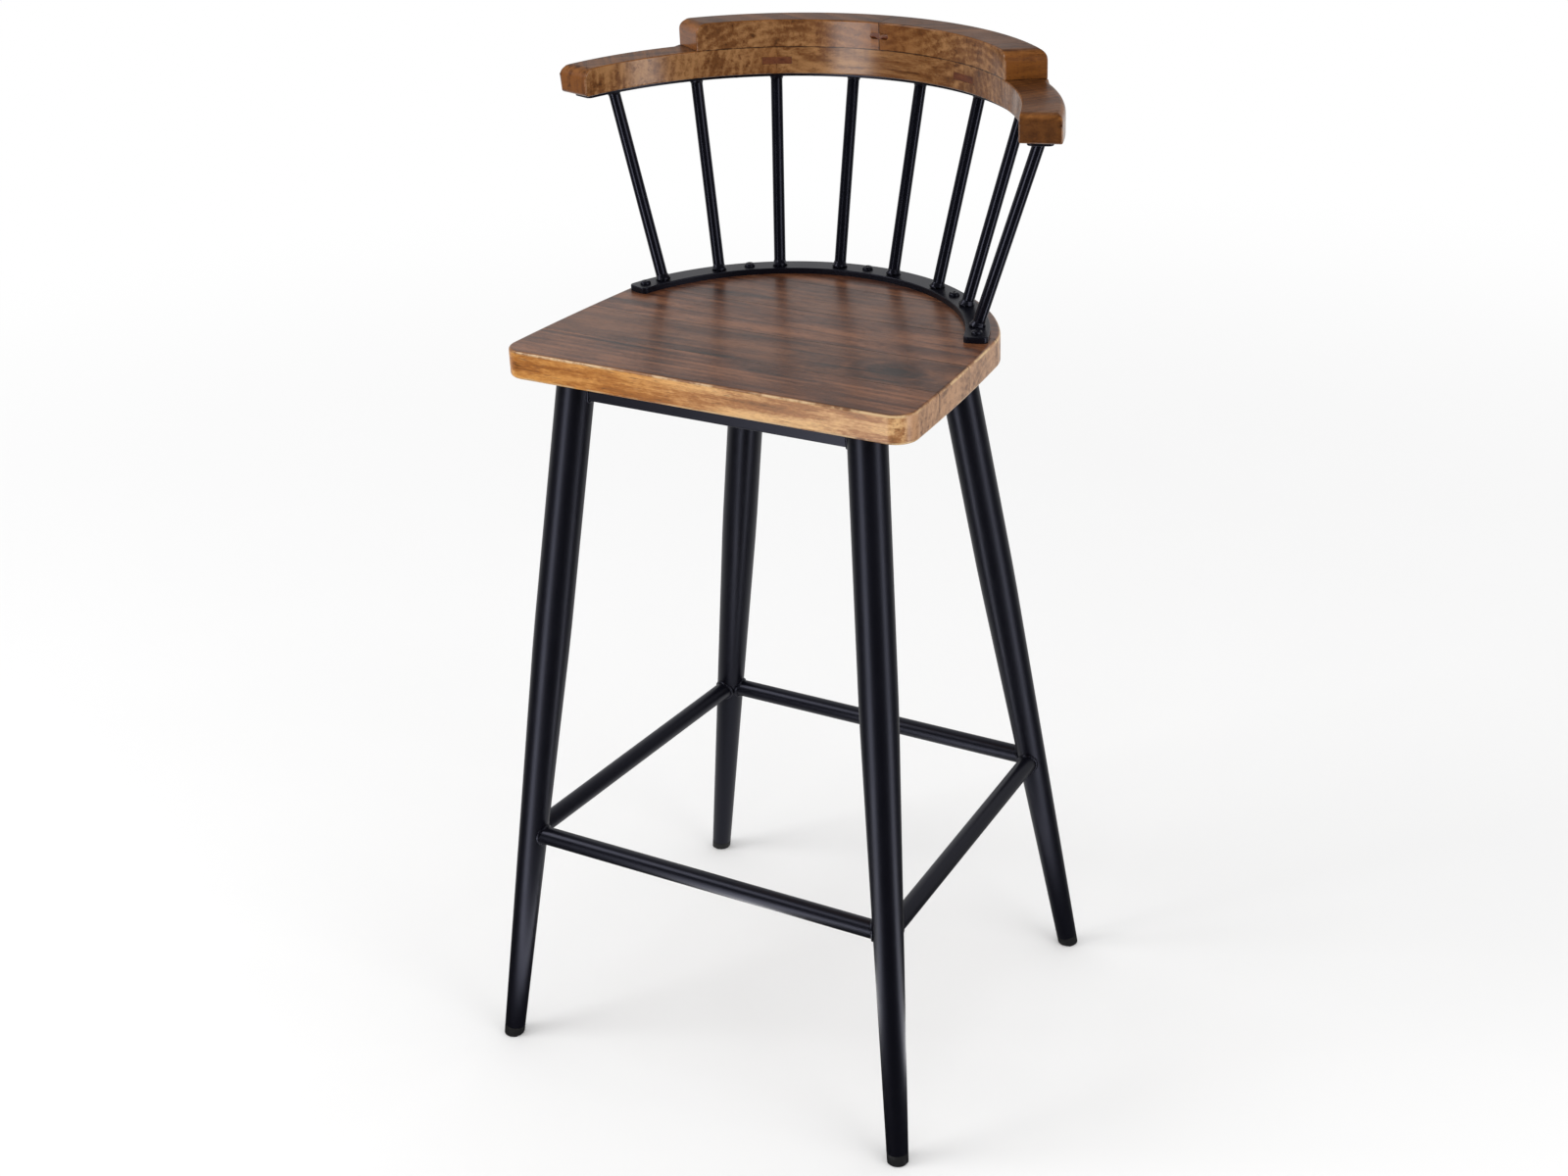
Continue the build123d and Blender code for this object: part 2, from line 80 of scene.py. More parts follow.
SPINDLE_FOOT_TURNS = (9.0, 27.3, 45.6, 63.8)
SPINDLE_HEAD_TURNS = (8.4, 26.1, 44.2, 64.0)
LOWER_SCREW_TURNS = (-70, -36.4, 0, 36.4, 70)
UPPER_SCREW_TURNS = (-69.5, -53.8, -35, -17.3, 0, 17.3, 35, 53.8, 69.5)
TAB_SIZE = (30 * MM, 32 * MM)
FRONT_TAB_X = 80 * MM
REAR_TAB_X = 55 * MM
TAB_HOLE_INSET = 18 * MM
ARM_KEY_TURN = radians(25.5)
ARM_KEY_SIZE = (30 * MM, 7 * MM)
CREST_KEY_SIZE = (20 * MM, 6 * MM)
CREST_KEY_ROUND = 2.9 * MM
POCKET_GAP = 0.12 * MM
# How far the painted highlight along the seat's top and bottom rims lies from the faces.
RIM_HIGHLIGHT_INSET = 1.7 * MM
SLACK = 0.02 * MM
TURN_SLACK = 1e-4
MERGE = 1e-6
ARM_FREE_FROM = radians(3)
CREST_STRETCH = radians(4.6)
FLOOR_FADE = (0.9, 3.2)
UP = Vector((0, 0, 1))
BACKWARDS = Vector((0, 1, 0))
GLUE = (0.010, 0.004, 0.002)
# Pale colour of the painted highlight along the rims.
RIM_HIGHLIGHT = (0.62, 0.42, 0.22)

seat_low, seat_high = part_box("seat_board_1")
arm_low, arm_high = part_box("rail_centre")
crest_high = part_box("crest_left")[1]
lower_band_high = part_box("lower_band")[1]
upper_band_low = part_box("upper_band")[0]
footrest_low, footrest_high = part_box("footrest_front")
tabs_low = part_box("mounting_tabs")[0]


def length(name, about, default):
    """A length property with its default in metres."""
    return FloatProperty(name=name, description=about, default=default, min=0, unit="LENGTH")


def place(name, about, default):
    """A place in plan, as X and Y in metres."""
    return FloatVectorProperty(
        name=name, description=about, size=2, default=default, subtype="XYZ", unit="LENGTH"
    )


def angle(name, about, degrees):
    """An angle property with its default in degrees."""
    return FloatProperty(name=name, description=about, default=radians(degrees), unit="ROTATION")


def along_y(name, about, default):
    """A place along Y in metres."""
    return FloatProperty(name=name, description=about, default=default, unit="LENGTH")


def power(name, about, default):
    """A brightness, a power or another plain number that is not negative."""
    return FloatProperty(name=name, description=about, default=default, min=0)


def colour(name, about, default):
    """A colour property."""
    return FloatVectorProperty(
        name=name, description=about, size=3, default=default, min=0, max=1, subtype="COLOR"
    )


class StoolLegSizes(PropertyGroup):
    """Sizes of the legs, their glides and the footrest."""

    front_foot: place("Front foot", "Where a front leg's axis meets the floor", (0.234, -0.2385))
    front_top: place("Front leg top", "Where a front leg's axis meets the seat", (0.1595, -0.1275))
    rear_foot: place("Rear foot", "Where a rear leg's axis meets the floor", (0.230, 0.1865))
    rear_top: place("Rear leg top", "Where a rear leg's axis meets the seat", (0.1145, 0.130))
    seat_underside: length("Seat underside", "Height of the leg tops", seat_low.z)
    diameter: length("Leg diameter", "Diameter of the straight part", 38 * MM)
    foot_diameter: length("Foot diameter", "Diameter at the floor", 21.5 * MM)
    taper_height: length("Taper height", "Height at which the taper starts", 458 * MM)
    taper_blend: length("Taper blend", "How softly the taper starts", 16 * MM)
    wall: length("Wall", "Thickness of the tubes", 1.5 * MM)
    glide_height: length("Glide height", "Height of the glides that show", 10 * MM)
    glide_round: length("Glide rounding", "Rounding of a glide's lower rim", 2 * MM)
    glide_stem: length("Glide stem", "How far a glide reaches into its leg", 22 * MM)
    bar_height: length(
        "Footrest height", "Height of the footrest bars", (footrest_low.z + footrest_high.z) / 2
    )
    bar_diameter: length("Footrest diameter", "Diameter of the footrest bars", 19 * MM)
    rail_width: length("Seat rail width", "Width of the flat rails under the seat", 12 * MM)
    rail_depth: length("Seat rail depth", "Depth of the flat rails under the seat", 24 * MM)
    rail_round: length("Seat rail rounding", "Rounding of the rails' long edges", 1.6 * MM)
    bead: length("Weld bead", "Radius of a weld bead", 2.3 * MM)
    bead_lumps: length("Weld lumps", "How uneven a weld bead is", 1.1 * MM)


class StoolSeatSizes(PropertyGroup):
    """Sizes of the seat boards."""

    top: length("Seat height", "Height of the seat's top", seat_high.z)
    underside: length("Underside", "Height of the seat's underside", seat_low.z)
    front_corner: place("Front corner", "Front corner before it is rounded", (0.2215, seat_low.y))
    side_middle: place("Side", "A point half-way along the side", (0.2155, -0.053))
    back_corner: place("Back corner", "Where the side meets the round back", (0.2043, 0.060))
    back_centre: along_y("Back centre", "Y of the round back's centre", -0.026)
    back_radius: length("Back radius", "Radius of the round back", 222 * MM)
    front_round: length("Front corners", "How far the front corners are rounded", 23.2 * MM)
    back_round: length("Back corners", "How far the back corners are blended", 9 * MM)
    edge_round: length("Edge rounding", "Rounding of the top and bottom rims", 3.2 * MM)
    joint_gap: length("Joint", "Depth of the fine groove between two boards", 0.28 * MM)


class StoolBackSizes(PropertyGroup):
    """Sizes of the bands, the spindles and the wooden back rail."""

    band_centre: along_y("Lower centre", "Y of the lower band's centre", -0.026)
    rail_centre: along_y("Upper centre", "Y of the back rail's centre", -0.0355)
    lower_inner: length("Lower band inside", "Inner radius of the lower band", 188 * MM)
    lower_outer: length("Lower band outside", "Outer radius of the lower band", 212 * MM)
    lower_top: length("Lower band top", "Height of the lower band's top", lower_band_high.z)
    lower_half: angle("Lower band half angle", "From the middle to an end", 73.5)
    upper_inner: length("Upper band inside", "Inner radius of the upper band", 251 * MM)
    upper_outer: length("Upper band outside", "Outer radius of the upper band", 276 * MM)
    upper_bottom: length("Upper band bottom", "Height of the upper band's bottom", upper_band_low.z)
    upper_half: angle("Upper band half angle", "From the middle to an end", 72.5)
    band_corner: length("Band corners", "Rounding of the bands' corners in plan", 5 * MM)
    band_edge: length("Band edges", "Rounding of the bands' rims", 1 * MM)
    spindle: length("Spindle diameter", "Diameter of the spindles", 12 * MM)
    collar: length("Collar radius", "Radius of a spindle's weld on its band", 9 * MM)
    collar_height: length("Collar height", "Height of a spindle's weld", 6 * MM)
    rail_inner: length("Rail inside", "Inner radius of the back rail", 245 * MM)
    rail_outer: length("Rail outside", "Outer radius of the back rail", 285 * MM)
    rail_bottom: length("Rail bottom", "Height of the rail's underside", arm_low.z)
    arm_top: length("Arm top", "Height of the arms' top", arm_high.z)
    crest_top: length("Crest top", "Height of the crest's top", crest_high.z)
    arm_half: angle("Arm half angle", "From the middle to an arm's end", 74.4)
    joint_half: angle("Joint half angle", "From the middle to an arm's joint", 25.5)
    crest_half: angle("Crest half angle", "From the middle to a crest end's inner corner", 44.5)
    crest_cut: angle("Crest end cut", "Slant of the crest's end", 31.9)
    big_round: length("Top rounding", "Rounding of the outer top edges", 8 * MM)
    end_round: length("End rounding", "Rounding of the end top edges", 12 * MM)
    corner_round: length("Corner rounding", "Rounding of the arm ends' other edges", 4 * MM)
    small_round: length("Edge rounding", "Rounding of the other edges", 1.5 * MM)
    seam: length("Seam", "Fine rounding where two pieces are glued", 0.22 * MM)
    key_depth: length("Key depth", "How deep a key sits in the rail", 12 * MM)


class StoolScrewSizes(PropertyGroup):
    """Sizes of the screws."""

    lower_head: length("Band screw head", "Head diameter on the lower band", 11 * MM)
    lower_height: length("Band screw height", "Head height on the lower band", 3.4 * MM)
    upper_head: length("Rail screw head", "Head diameter under the rail", 9 * MM)
    upper_height: length("Rail screw height", "Head height under the rail", 2.2 * MM)
    seat_head: length("Seat screw head", "Head diameter under the seat", 9 * MM)
    seat_height: length("Seat screw height", "Head height under the seat", 3 * MM)
    recess: length("Recess", "Width of the cross recess", 1.5 * MM)


class StoolColours(PropertyGroup):
    """Colours of the finishes."""

    seat_dark: colour("Seat dark", "Dark figure of the seat", (0.014, 0.0045, 0.0022))
    seat_mid: colour("Seat middle", "Middle brown of the seat", (0.074, 0.0235, 0.0090))
    seat_light: colour("Seat light", "Light figure of the seat", (0.185, 0.072, 0.0300))
    # Painted light: the edge tones are lighter than the top's tones, so the upright faces look lit.
    edge_mid: colour("Edge middle", "Middle tone of the seat's edges", (0.33, 0.110, 0.012))
    edge_light: colour("Edge light", "Light tone of the seat's edges", (0.64, 0.30, 0.070))
    edge_pink: colour("Edge, right", "Middle tone of the edge's right end", (0.32, 0.135, 0.045))
    edge_pale: colour("Edge, right light", "Light tone of the edge's right end", (0.66, 0.40, 0.18))
    end_dark: colour("Seat end grain", "Dark of the seat's end grain", (0.115, 0.045, 0.017))
    end_light: colour("Seat end light", "Light of the seat's end grain", (0.42, 0.23, 0.12))
    # A warmer tone with a painted highlight on the rounded upper edges.
    rounding: colour("Rounded edges", "Warm tone of the rounded edges", (0.20, 0.070, 0.014))
    # Painted shade: the rail's top tones are darker than the tones of its upright faces below.
    top_dark: colour("Rail top dark", "Dark of the rail's top", (0.018, 0.0055, 0.0018))
    top_mid: colour("Rail top middle", "Middle of the rail's top", (0.070, 0.0235, 0.0062))
    top_light: colour("Rail top light", "Light of the rail's top", (0.145, 0.056, 0.0165))
    rail_dark: colour("Rail end grain", "Dark of the rail's end grain", (0.050, 0.0145, 0.0025))
    rail_deep: colour("Rail end light", "Light of the rail's end grain", (0.120, 0.040, 0.0070))
    rail_mid: colour("Rail middle", "Middle brown of the rail", (0.150, 0.054, 0.0130))
    rail_light: colour("Rail light", "Light figure of the rail", (0.32, 0.155, 0.056))
    key_mid: colour("Key middle", "Middle tone of the keys", (0.100, 0.023, 0.006))
    key_light: colour("Key light", "Light tone of the keys", (0.17, 0.050, 0.014))
    metal: colour("Metal", "Black powder coat", (0.0026, 0.0026, 0.0048))
    plastic: colour("Plastic", "Black of the glides", (0.012, 0.012, 0.013))
    floor: colour("Floor", "Colour of the floor", (0.835, 0.835, 0.835))
    sky: colour("Surroundings", "Colour of the light all round", (1.0, 1.0, 1.0))


class StoolStage(PropertyGroup):
    """The camera, floor and lights."""

    camera: FloatVectorProperty(
        name="Camera", description="Place of the camera", size=3,
        default=(1.111, -1.8655, 1.524), subtype="TRANSLATION", unit="LENGTH",
    )
    yaw: angle("Yaw", "Turn of the camera about the vertical", 31.06)
    pitch: angle("Pitch", "How far the camera looks down", 25.7)
    roll: angle("Roll", "Tilt of the camera", -2.48)
    lens: power("Lens", "Focal length in millimetres", 53.8)
    sky_power: power("Surroundings", "Strength of the light all round", 0.97)
    backdrop_power: power("Backdrop", "Brightness of the backdrop in reflections", 0.62)
    room_power: power("Room", "Brightness of the room in reflections", 0.035)
    left_box: angle("Left softbox", "Turn of the left softbox from the camera", -47)
    right_box: angle("Right softbox", "Turn of the right softbox from the camera", 52)
    box_power: power("Softboxes", "Brightness of the softboxes in reflections", 4.5)
    key_power: power("Key light", "Power of the key light in watts", 30)
    fill_power: power("Fill light", "Power of the fill light in watts", 15)


# ---- Working at the bench: selecting, picking and finishing a mesh --------------------


def nothing_selected():
    """Leave edit mode and let go of everything."""
    if bpy.context.mode != "OBJECT":
        bpy.ops.object.mode_set(mode="OBJECT")
    bpy.ops.object.select_all(action="DESELECT")


def take(piece, *others):
    """Select the pieces, the first one active."""
    nothing_selected()
    for each in (piece, *others):
        each.select_set(True)
    bpy.context.view_layer.objects.active = piece


def added(name, size=(1, 1, 1)):
    """Name and size the primitive just added and put its place into its mesh."""
    piece = bpy.context.object
    piece.name = name
    piece.data.name = name
    piece.scale = size
    bpy.ops.object.transform_apply(location=True, rotation=True, scale=True)
    return piece


def edit(piece):
    """Open a piece for editing with nothing selected."""
    take(piece)
    bpy.ops.object.mode_set(mode="EDIT")
    bpy.ops.mesh.select_all(action="DESELECT")


def pick(piece, kind, test):
    """Select the corners, edges or faces of an open piece for which the test is true."""
    bpy.ops.mesh.select_mode(type=kind)
    bpy.ops.mesh.select_all(action="DESELECT")
    mesh = bmesh.from_edit_mesh(piece.data)
    mesh.normal_update()
    parts = {"VERT": mesh.verts, "EDGE": mesh.edges, "FACE": mesh.faces}[kind]
    chosen = [part for part in parts if test(part)]
    if not chosen:
        raise RuntimeError(f"nothing to pick on {piece.name}")
    for part in chosen:
        part.select_set(True)
    mesh.select_flush_mode()
    bmesh.update_edit_mesh(piece.data)


def all_selected():
    """Select all of the open piece."""
    bpy.ops.mesh.select_all(action="SELECT")


def both(edge, test):
    """True when the test holds at both ends of an edge."""
    return all(test(corner.co) for corner in edge.verts)


def near(value, target, slack=SLACK):
    """True when two lengths are all but equal."""
    return abs(value - target) < slack


def level(height, slack=SLACK):
    """A test for points at a height."""
    return lambda point: near(point.z, height, slack)


def in_plane(spot, normal, slack=SLACK):
    """A test for points in a plane."""
    return lambda point: near((point - spot).dot(normal), 0, slack)


def at_radius(centre_y, radius, slack=SLACK):
    """A test for points so far from the vertical through an arc's centre."""
    return lambda point: near(radius_of(point, centre_y), radius, slack)


def at_turn(centre_y, turn):
    """A test for points at an angle from the back, on either side."""
    return lambda point: abs(abs(turn_of(point, centre_y)) - turn) < TURN_SLACK


def runs_along(edge, direction, share=0.999):
    """True when an edge lies along a direction."""
    first, second = edge.verts
    return abs((first.co - second.co).normalized().dot(direction)) > share


def flat(edge):
    """True when an edge is level."""
    first, second = edge.verts
    return near(first.co.z, second.co.z)


def upright(edge, reach):
    """True when an edge climbs by more than the reach."""
    first, second = edge.verts
    return abs(first.co.z - second.co.z) > reach


def turned(edge, degrees=40):
    """True when the surface turns by more than an angle at an edge."""
    return len(edge.link_faces) == 2 and edge.calc_face_angle(0) > radians(degrees)


def cut(point, normal, fill=True, keep="behind"):
    """Cut the open piece at a plane and keep what is behind it, in front of it, or both."""
    all_selected()
    bpy.ops.mesh.bisect(
        plane_co=point,
        plane_no=normal,
        use_fill=fill,
        clear_inner=keep == "front",
        clear_outer=keep == "behind",
        threshold=MERGE,
    )


def round_edges(piece, offset, segments, test, degrees=None):
    """Round the edges of an open piece that turn by more than an angle and pass a test."""
    pick(piece, "EDGE", lambda edge: (degrees is None or turned(edge, degrees)) and test(edge))
    bpy.ops.mesh.bevel(offset=offset, segments=segments, affect="EDGES", clamp_overlap=False)


def ends(*tests):
    """A test for edges that pass each test of points at both ends."""
    return lambda edge: all(both(edge, test) for test in tests)


def push(step):
    """Extrude the selected faces by a step."""
    bpy.ops.mesh.extrude_region_move(TRANSFORM_OT_translate={"value": step})


def inset(thickness):
    """Inset the selected faces."""
    bpy.ops.mesh.inset(thickness=thickness, depth=0)


def cube(name, size, spot, rotation=(0, 0, 0)):
    """A box to be shaped, open for editing."""
    nothing_selected()
    bpy.ops.mesh.primitive_cube_add(size=1, location=spot, rotation=rotation)
    piece = added(name, size)
    edit(piece)
    return piece


def cone(name, start, finish, first, last, facets):
    """A closed cone from one point to another."""
    nothing_selected()
    bpy.ops.mesh.primitive_cone_add(
        vertices=facets,
        radius1=first,
        radius2=last,
        depth=(finish - start).length,
        location=(start + finish) / 2,
        rotation=(finish - start).to_track_quat("Z", "Y").to_euler(),
    )
    return added(name)


def whole():
    """Merge doubles of the open piece and point its faces outwards."""
    all_selected()
    bpy.ops.mesh.remove_doubles(threshold=MERGE)
    bpy.ops.mesh.normals_make_consistent(inside=False)


def modify(piece, kind, **settings):
    """Add a modifier to a piece, set it up and apply it."""
    take(piece)
    modifier = piece.modifiers.new(kind.title(), kind)
    for setting, value in settings.items():
        setattr(modifier, setting, value)
    bpy.ops.object.modifier_apply(modifier=modifier.name)


def carve(piece, tool, operation="DIFFERENCE"):
    """Cut a piece with a tool that stays."""
    modify(piece, "BOOLEAN", operation=operation, object=tool, solver="EXACT")


def remove(*pieces):
    """Throw tools away."""
    for piece in pieces:
        bpy.data.objects.remove(piece, do_unlink=True)


def copy_of(piece, name):
    """A copy of a piece with its own mesh."""
    take(piece)
    bpy.ops.object.duplicate(linked=False)
    twin = bpy.context.object
    twin.name = name
    twin.data.name = name
    return twin


def mirror_of(piece, name):
    """A copy of a piece, mirrored to the other side."""
    twin = copy_of(piece, name)
    twin.scale.x = -1
    bpy.ops.object.transform_apply(location=True, rotation=True, scale=True)
    edit(twin)
    whole()
    nothing_selected()
    return twin


def moved(piece, matrix):
    """Carry a piece to its place and put the place into its mesh."""
    take(piece)
    piece.matrix_world = matrix
    bpy.ops.object.transform_apply(location=True, rotation=True, scale=True)
    return piece


def joined(name, pieces):
    """Join pieces into one object."""
    take(*pieces)
    if len(pieces) > 1:
        bpy.ops.object.join()
    group = bpy.context.object
    group.name = name
    group.data.name = name
    return group


def smooth(piece, degrees=35):
    """Shade a piece smooth, with its sharp edges kept and its flat faces flat."""
    take(piece)
    bpy.ops.object.shade_smooth_by_angle(angle=radians(degrees))
    modify(piece, "WEIGHTED_NORMAL", keep_sharp=True, weight=80)


def fitted(piece, node, finish, slack=1.2 * MM):
    """Check a finished piece against the node it stands for, and hand it to the frame."""
    for axis, low, high in zip(range(3), *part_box(node)):
        spots = [corner[axis] for corner in piece.bound_box]
        if min(spots) < low - slack or max(spots) > high + slack:
            raise RuntimeError(f"{piece.name} leaves {node} along {'XYZ'[axis]}")
    piece.data.materials.clear()
    piece.data.materials.append(finish)
    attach(piece, "root")
    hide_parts(node)
    nothing_selected()


def on_arc(centre_y, radius, turn, height=0.0):
    """A point on an arc about the vertical; the turn is from the back towards +X."""
    return Vector((radius * sin(turn), centre_y + radius * cos(turn), height))


def rod(name, start, finish, radius, facets):
    """A closed round bar from one point to another."""
    nothing_selected()
    bpy.ops.mesh.primitive_cylinder_add(
        vertices=facets,
        radius=radius,
        depth=(finish - start).length,
        location=(start + finish) / 2,
        rotation=(finish - start).to_track_quat("Z", "Y").to_euler(),
    )
    return added(name)


def swept(name, centre_y, inner, outer, bottom, top, first, last, steps):
    """A square bar swept about the vertical, from one angle from the back to another."""
    nothing_selected()
    bpy.ops.mesh.primitive_plane_add(
        size=1,
        location=on_arc(centre_y, (inner + outer) / 2, first, (bottom + top) / 2),
        rotation=(pi / 2, 0, pi / 2 - first),
    )
    bar = added(name, (outer - inner, top - bottom, 1))
    edit(bar)
    all_selected()
    bpy.ops.mesh.spin(steps=steps, angle=last - first, center=(0, centre_y, 0), axis=(0, 0, 1))
    whole()
    return bar


def radius_of(point, centre_y):
    """Distance of a point from the vertical through an arc's centre."""
    return Vector((point.x, point.y - centre_y)).length


def turn_of(point, centre_y):
    """Angle of a point from the back towards +X."""
    return atan2(point.x, point.y - centre_y)


# ---- Legs, glides and footrest ---------------------------------------------------------


def leg_axis(end, side, height):
    """The point of a leg's axis at a height."""
    sizes = bpy.context.scene.stool_legs
    foot = sizes.front_foot if end == "front" else sizes.rear_foot
    top = sizes.front_top if end == "front" else sizes.rear_top
    part_way = height / sizes.seat_underside
    x = foot[0] + (top[0] - foot[0]) * part_way
    y = foot[1] + (top[1] - foot[1]) * part_way
    return Vector((x if side == "right" else -x, y, height))


def leg_form(end, side):
    """A leg as a closed form that runs past the floor and into the seat."""
    sizes = bpy.context.scene.stool_legs
    foot = leg_axis(end, side, 0)
    knee = leg_axis(end, side, sizes.taper_height)
    axis = (knee - foot).normalized()
    overrun = 40 * MM
    form = cone(f"{end}_{side}_form", foot, knee, sizes.foot_diameter / 2, sizes.diameter / 2, 64)
    edit(form)
    pick(form, "FACE", lambda face: face.normal.dot(axis) > 0.99)
    stretch = (knee - foot).length / sizes.taper_height
    straight = (sizes.seat_underside - sizes.taper_height) * stretch
    push(axis * (straight + overrun))
    pick(form, "FACE", lambda face: face.normal.dot(axis) < -0.99)
    push(axis * -overrun)
    round_edges(form, sizes.taper_blend, 5, ends(in_plane(knee, axis)))
    whole()
    nothing_selected()
    return form


def leg_tube(form, end, side):
    """The leg's tube, mitred under the seat and open at its foot."""
    sizes = bpy.context.scene.stool_legs
    foot = leg_axis(end, side, 0)
    axis = (leg_axis(end, side, sizes.seat_underside) - foot).normalized()
    tube = copy_of(form, f"{side}_{end}_leg")
    edit(tube)
    cut((0, 0, sizes.seat_underside), UP, fill=False)
    cut(foot + axis * sizes.glide_height, axis, fill=False, keep="front")
    whole()
    modify(tube, "SOLIDIFY", thickness=sizes.wall, offset=-1, use_even_offset=True)
    edit(tube)
    rim = foot + axis * sizes.glide_height
    round_edges(tube, 0.45 * MM, 2, ends(in_plane(rim, axis, 0.1 * MM)), 40)
    smooth(tube)
    return tube


def glide(form, end, side):
    """The plastic glide that plugs a leg, with a soft lower rim and a stem in the tube."""
    sizes = bpy.context.scene.stool_legs
    foot = leg_axis(end, side, 0)
    axis = (leg_axis(end, side, sizes.seat_underside) - foot).normalized()
    shoulder = foot + axis * sizes.glide_height
    plug = copy_of(form, f"{side}_{end}_glide")
    edit(plug)
    cut(shoulder, axis)
    cut((0, 0, 0), UP, keep="front")
    round_edges(plug, sizes.glide_round, 5, ends(level(0, 0.01 * MM)), 40)
    round_edges(plug, 0.7 * MM, 3, ends(in_plane(shoulder, axis)), 40)
    pick(plug, "FACE", lambda face: face.normal.dot(axis) > 0.999)
    inset(sizes.wall - 0.3 * MM)
    push(axis * sizes.glide_stem)
    inset(2 * MM)
    whole()
    smooth(plug)
    return plug


def footrest_bar(place, forms):
    """One footrest bar, with its ends hollowed to sit on the legs."""
    sizes = bpy.context.scene.stool_legs
    first, second = SPANS[place]
    start = leg_axis(*first, sizes.bar_height)
    finish = leg_axis(*second, sizes.bar_height)
    bar = rod(f"{place}_footrest_bar", start, finish, sizes.bar_diameter / 2, 48)
    carve(bar, forms[first])
    carve(bar, forms[second])
    return bar


def seat_rail(place, forms):
    """One flat rail under the seat, with its long edges rounded and its ends hollowed."""
    sizes = bpy.context.scene.stool_legs
    first, second = SPANS[place]
    height = sizes.seat_underside - sizes.rail_depth / 2
    start = leg_axis(*first, height)
    finish = leg_axis(*second, height)
    along = (finish - start).normalized()
    across = UP.cross(along)
    rail = cube(
        f"{place}_seat_rail",
        (sizes.rail_width, sizes.rail_depth, (finish - start).length),
        (start + finish) / 2,
        Matrix((across, along.cross(across), along)).transposed().to_euler(),
    )
    round_edges(rail, sizes.rail_round, 4, lambda edge: runs_along(edge, along))
    whole()
    carve(rail, forms[first])
    carve(rail, forms[second])
    return rail


def end_beads(bar, first, second, height):
    """Weld beads laid round both ends of a bar, where it meets the legs."""
    sizes = bpy.context.scene.stool_legs
    start = leg_axis(*first, height)
    finish = leg_axis(*second, height)
    along = (finish - start).normalized()
    reach = (finish - start).length
    edit(bar)

    def at_start(point):
        return (point - start).dot(along) < sizes.diameter

    def at_finish(point):
        return (point - start).dot(along) > reach - sizes.diameter

    pick(
        bar, "EDGE",
        lambda edge: turned(edge, 30) and not runs_along(edge, along, 0.9)
        and (both(edge, at_start) or both(edge, at_finish)),
    )
    bpy.ops.mesh.duplicate()
    bpy.ops.mesh.separate(type="SELECTED")
    nothing_selected()
    bead = [each for each in bpy.data.objects if each.name.startswith(bar.name + ".")][0]
    take(bead)
    bpy.ops.object.convert(target="CURVE")
    bead.data.bevel_depth = sizes.bead
    bead.data.bevel_resolution = 3
    bpy.ops.object.convert(target="MESH")
    bead.name = f"{bar.name}_bead"
    return bead


def lumpy(group, lumps, grain, seed):
    """Give a weld the uneven skin of molten metal."""
    texture = bpy.data.textures.new(f"{group.name}_skin", "CLOUDS")
    texture.noise_scale = grain
    texture.noise_depth = 1
    take(group)
    modify(group, "SUBSURF", levels=1, render_levels=1)
    modify(
        group, "DISPLACE", texture=texture, texture_coords="LOCAL", strength=lumps, mid_level=0.5
    )
    bpy.data.textures.remove(texture)
    smooth(group, 60)


def mounting_tabs():
    """Six plates that run inwards from the rails, with their free corners rounded."""
    sizes = bpy.context.scene.stool_legs
    low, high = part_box("mounting_tabs")
    plates = []
    height = sizes.seat_underside - sizes.rail_depth / 2
    wide, deep = TAB_SIZE
    thick = high.z - low.z
    front_y = leg_axis("front", "right", height).y + sizes.rail_width / 2
    rear_y = leg_axis("rear", "right", height).y - sizes.rail_width / 2
    for sign in (-1, 1):
        for x, y, turn in (
            (sign * FRONT_TAB_X, front_y + deep / 2, 0),
            (sign * REAR_TAB_X, rear_y - deep / 2, pi),
            (sign * (high.x - deep / 2), 0, sign * pi / 2),
        ):
            plate = cube("plate", (wide, deep, thick), (x, y, low.z + thick / 2), (0, 0, turn))
            inwards = Vector((-sin(turn), cos(turn), 0))
            free_end = in_plane(Vector((x, y, 0)) + inwards * deep / 2, inwards, 0.1 * MM)
            round_edges(
                plate, 6 * MM, 5, lambda edge: upright(edge, thick / 2) and both(edge, free_end)
            )
            round_edges(plate, 0.5 * MM, 2, ends(level(low.z)), 60)
            plates.append(plate)
    tabs = joined("tabs", plates)
    smooth(tabs)
    return tabs


# ---- Screws ----------------------------------------------------------------------------


def cross_screw(head, height, shank, depth):
    """A domed screw with a cross recess, standing head up on the origin."""
    recess = bpy.context.scene.stool_screws.recess
    screw = rod("screw", Vector(), UP * height, head / 2, 40)
    edit(screw)
    round_edges(screw, height * 0.78, 6, ends(level(height)), 40)
    pick(screw, "FACE", lambda face: face.normal.z < -0.99)
    inset((head - shank) / 2)
    push((0, 0, -depth))
    round_edges(screw, shank * 0.3, 1, ends(level(-depth)), 40)
    whole()
    for turn in (0, pi / 2):
        blade = cube("blade", (head * 0.52, recess, height), (0, 0, height), (0, 0, turn))
        pick(blade, "FACE", lambda face: face.normal.z < -0.99)
        bpy.ops.transform.resize(value=(0.6, 0.6, 1))
        nothing_selected()
        carve(screw, blade)
        remove(blade)
    return screw


def screw_row(name, pattern, places, down):
    """Copies of one screw at several places, each turned a little differently."""
    row = []
    for number, spot in enumerate(places):
        screw = copy_of(pattern, "screw_copy")
        tip = Matrix.Rotation(pi, 4, "X") if down else Matrix.Identity(4)
        spin = Matrix.Rotation(radians(31 * number + 12), 4, "Z")
        row.append(moved(screw, Matrix.Translation(spot) @ tip @ spin))
    remove(pattern)
    group = joined(name, row)
    smooth(group)
    return group


# ---- Seat ------------------------------------------------------------------------------


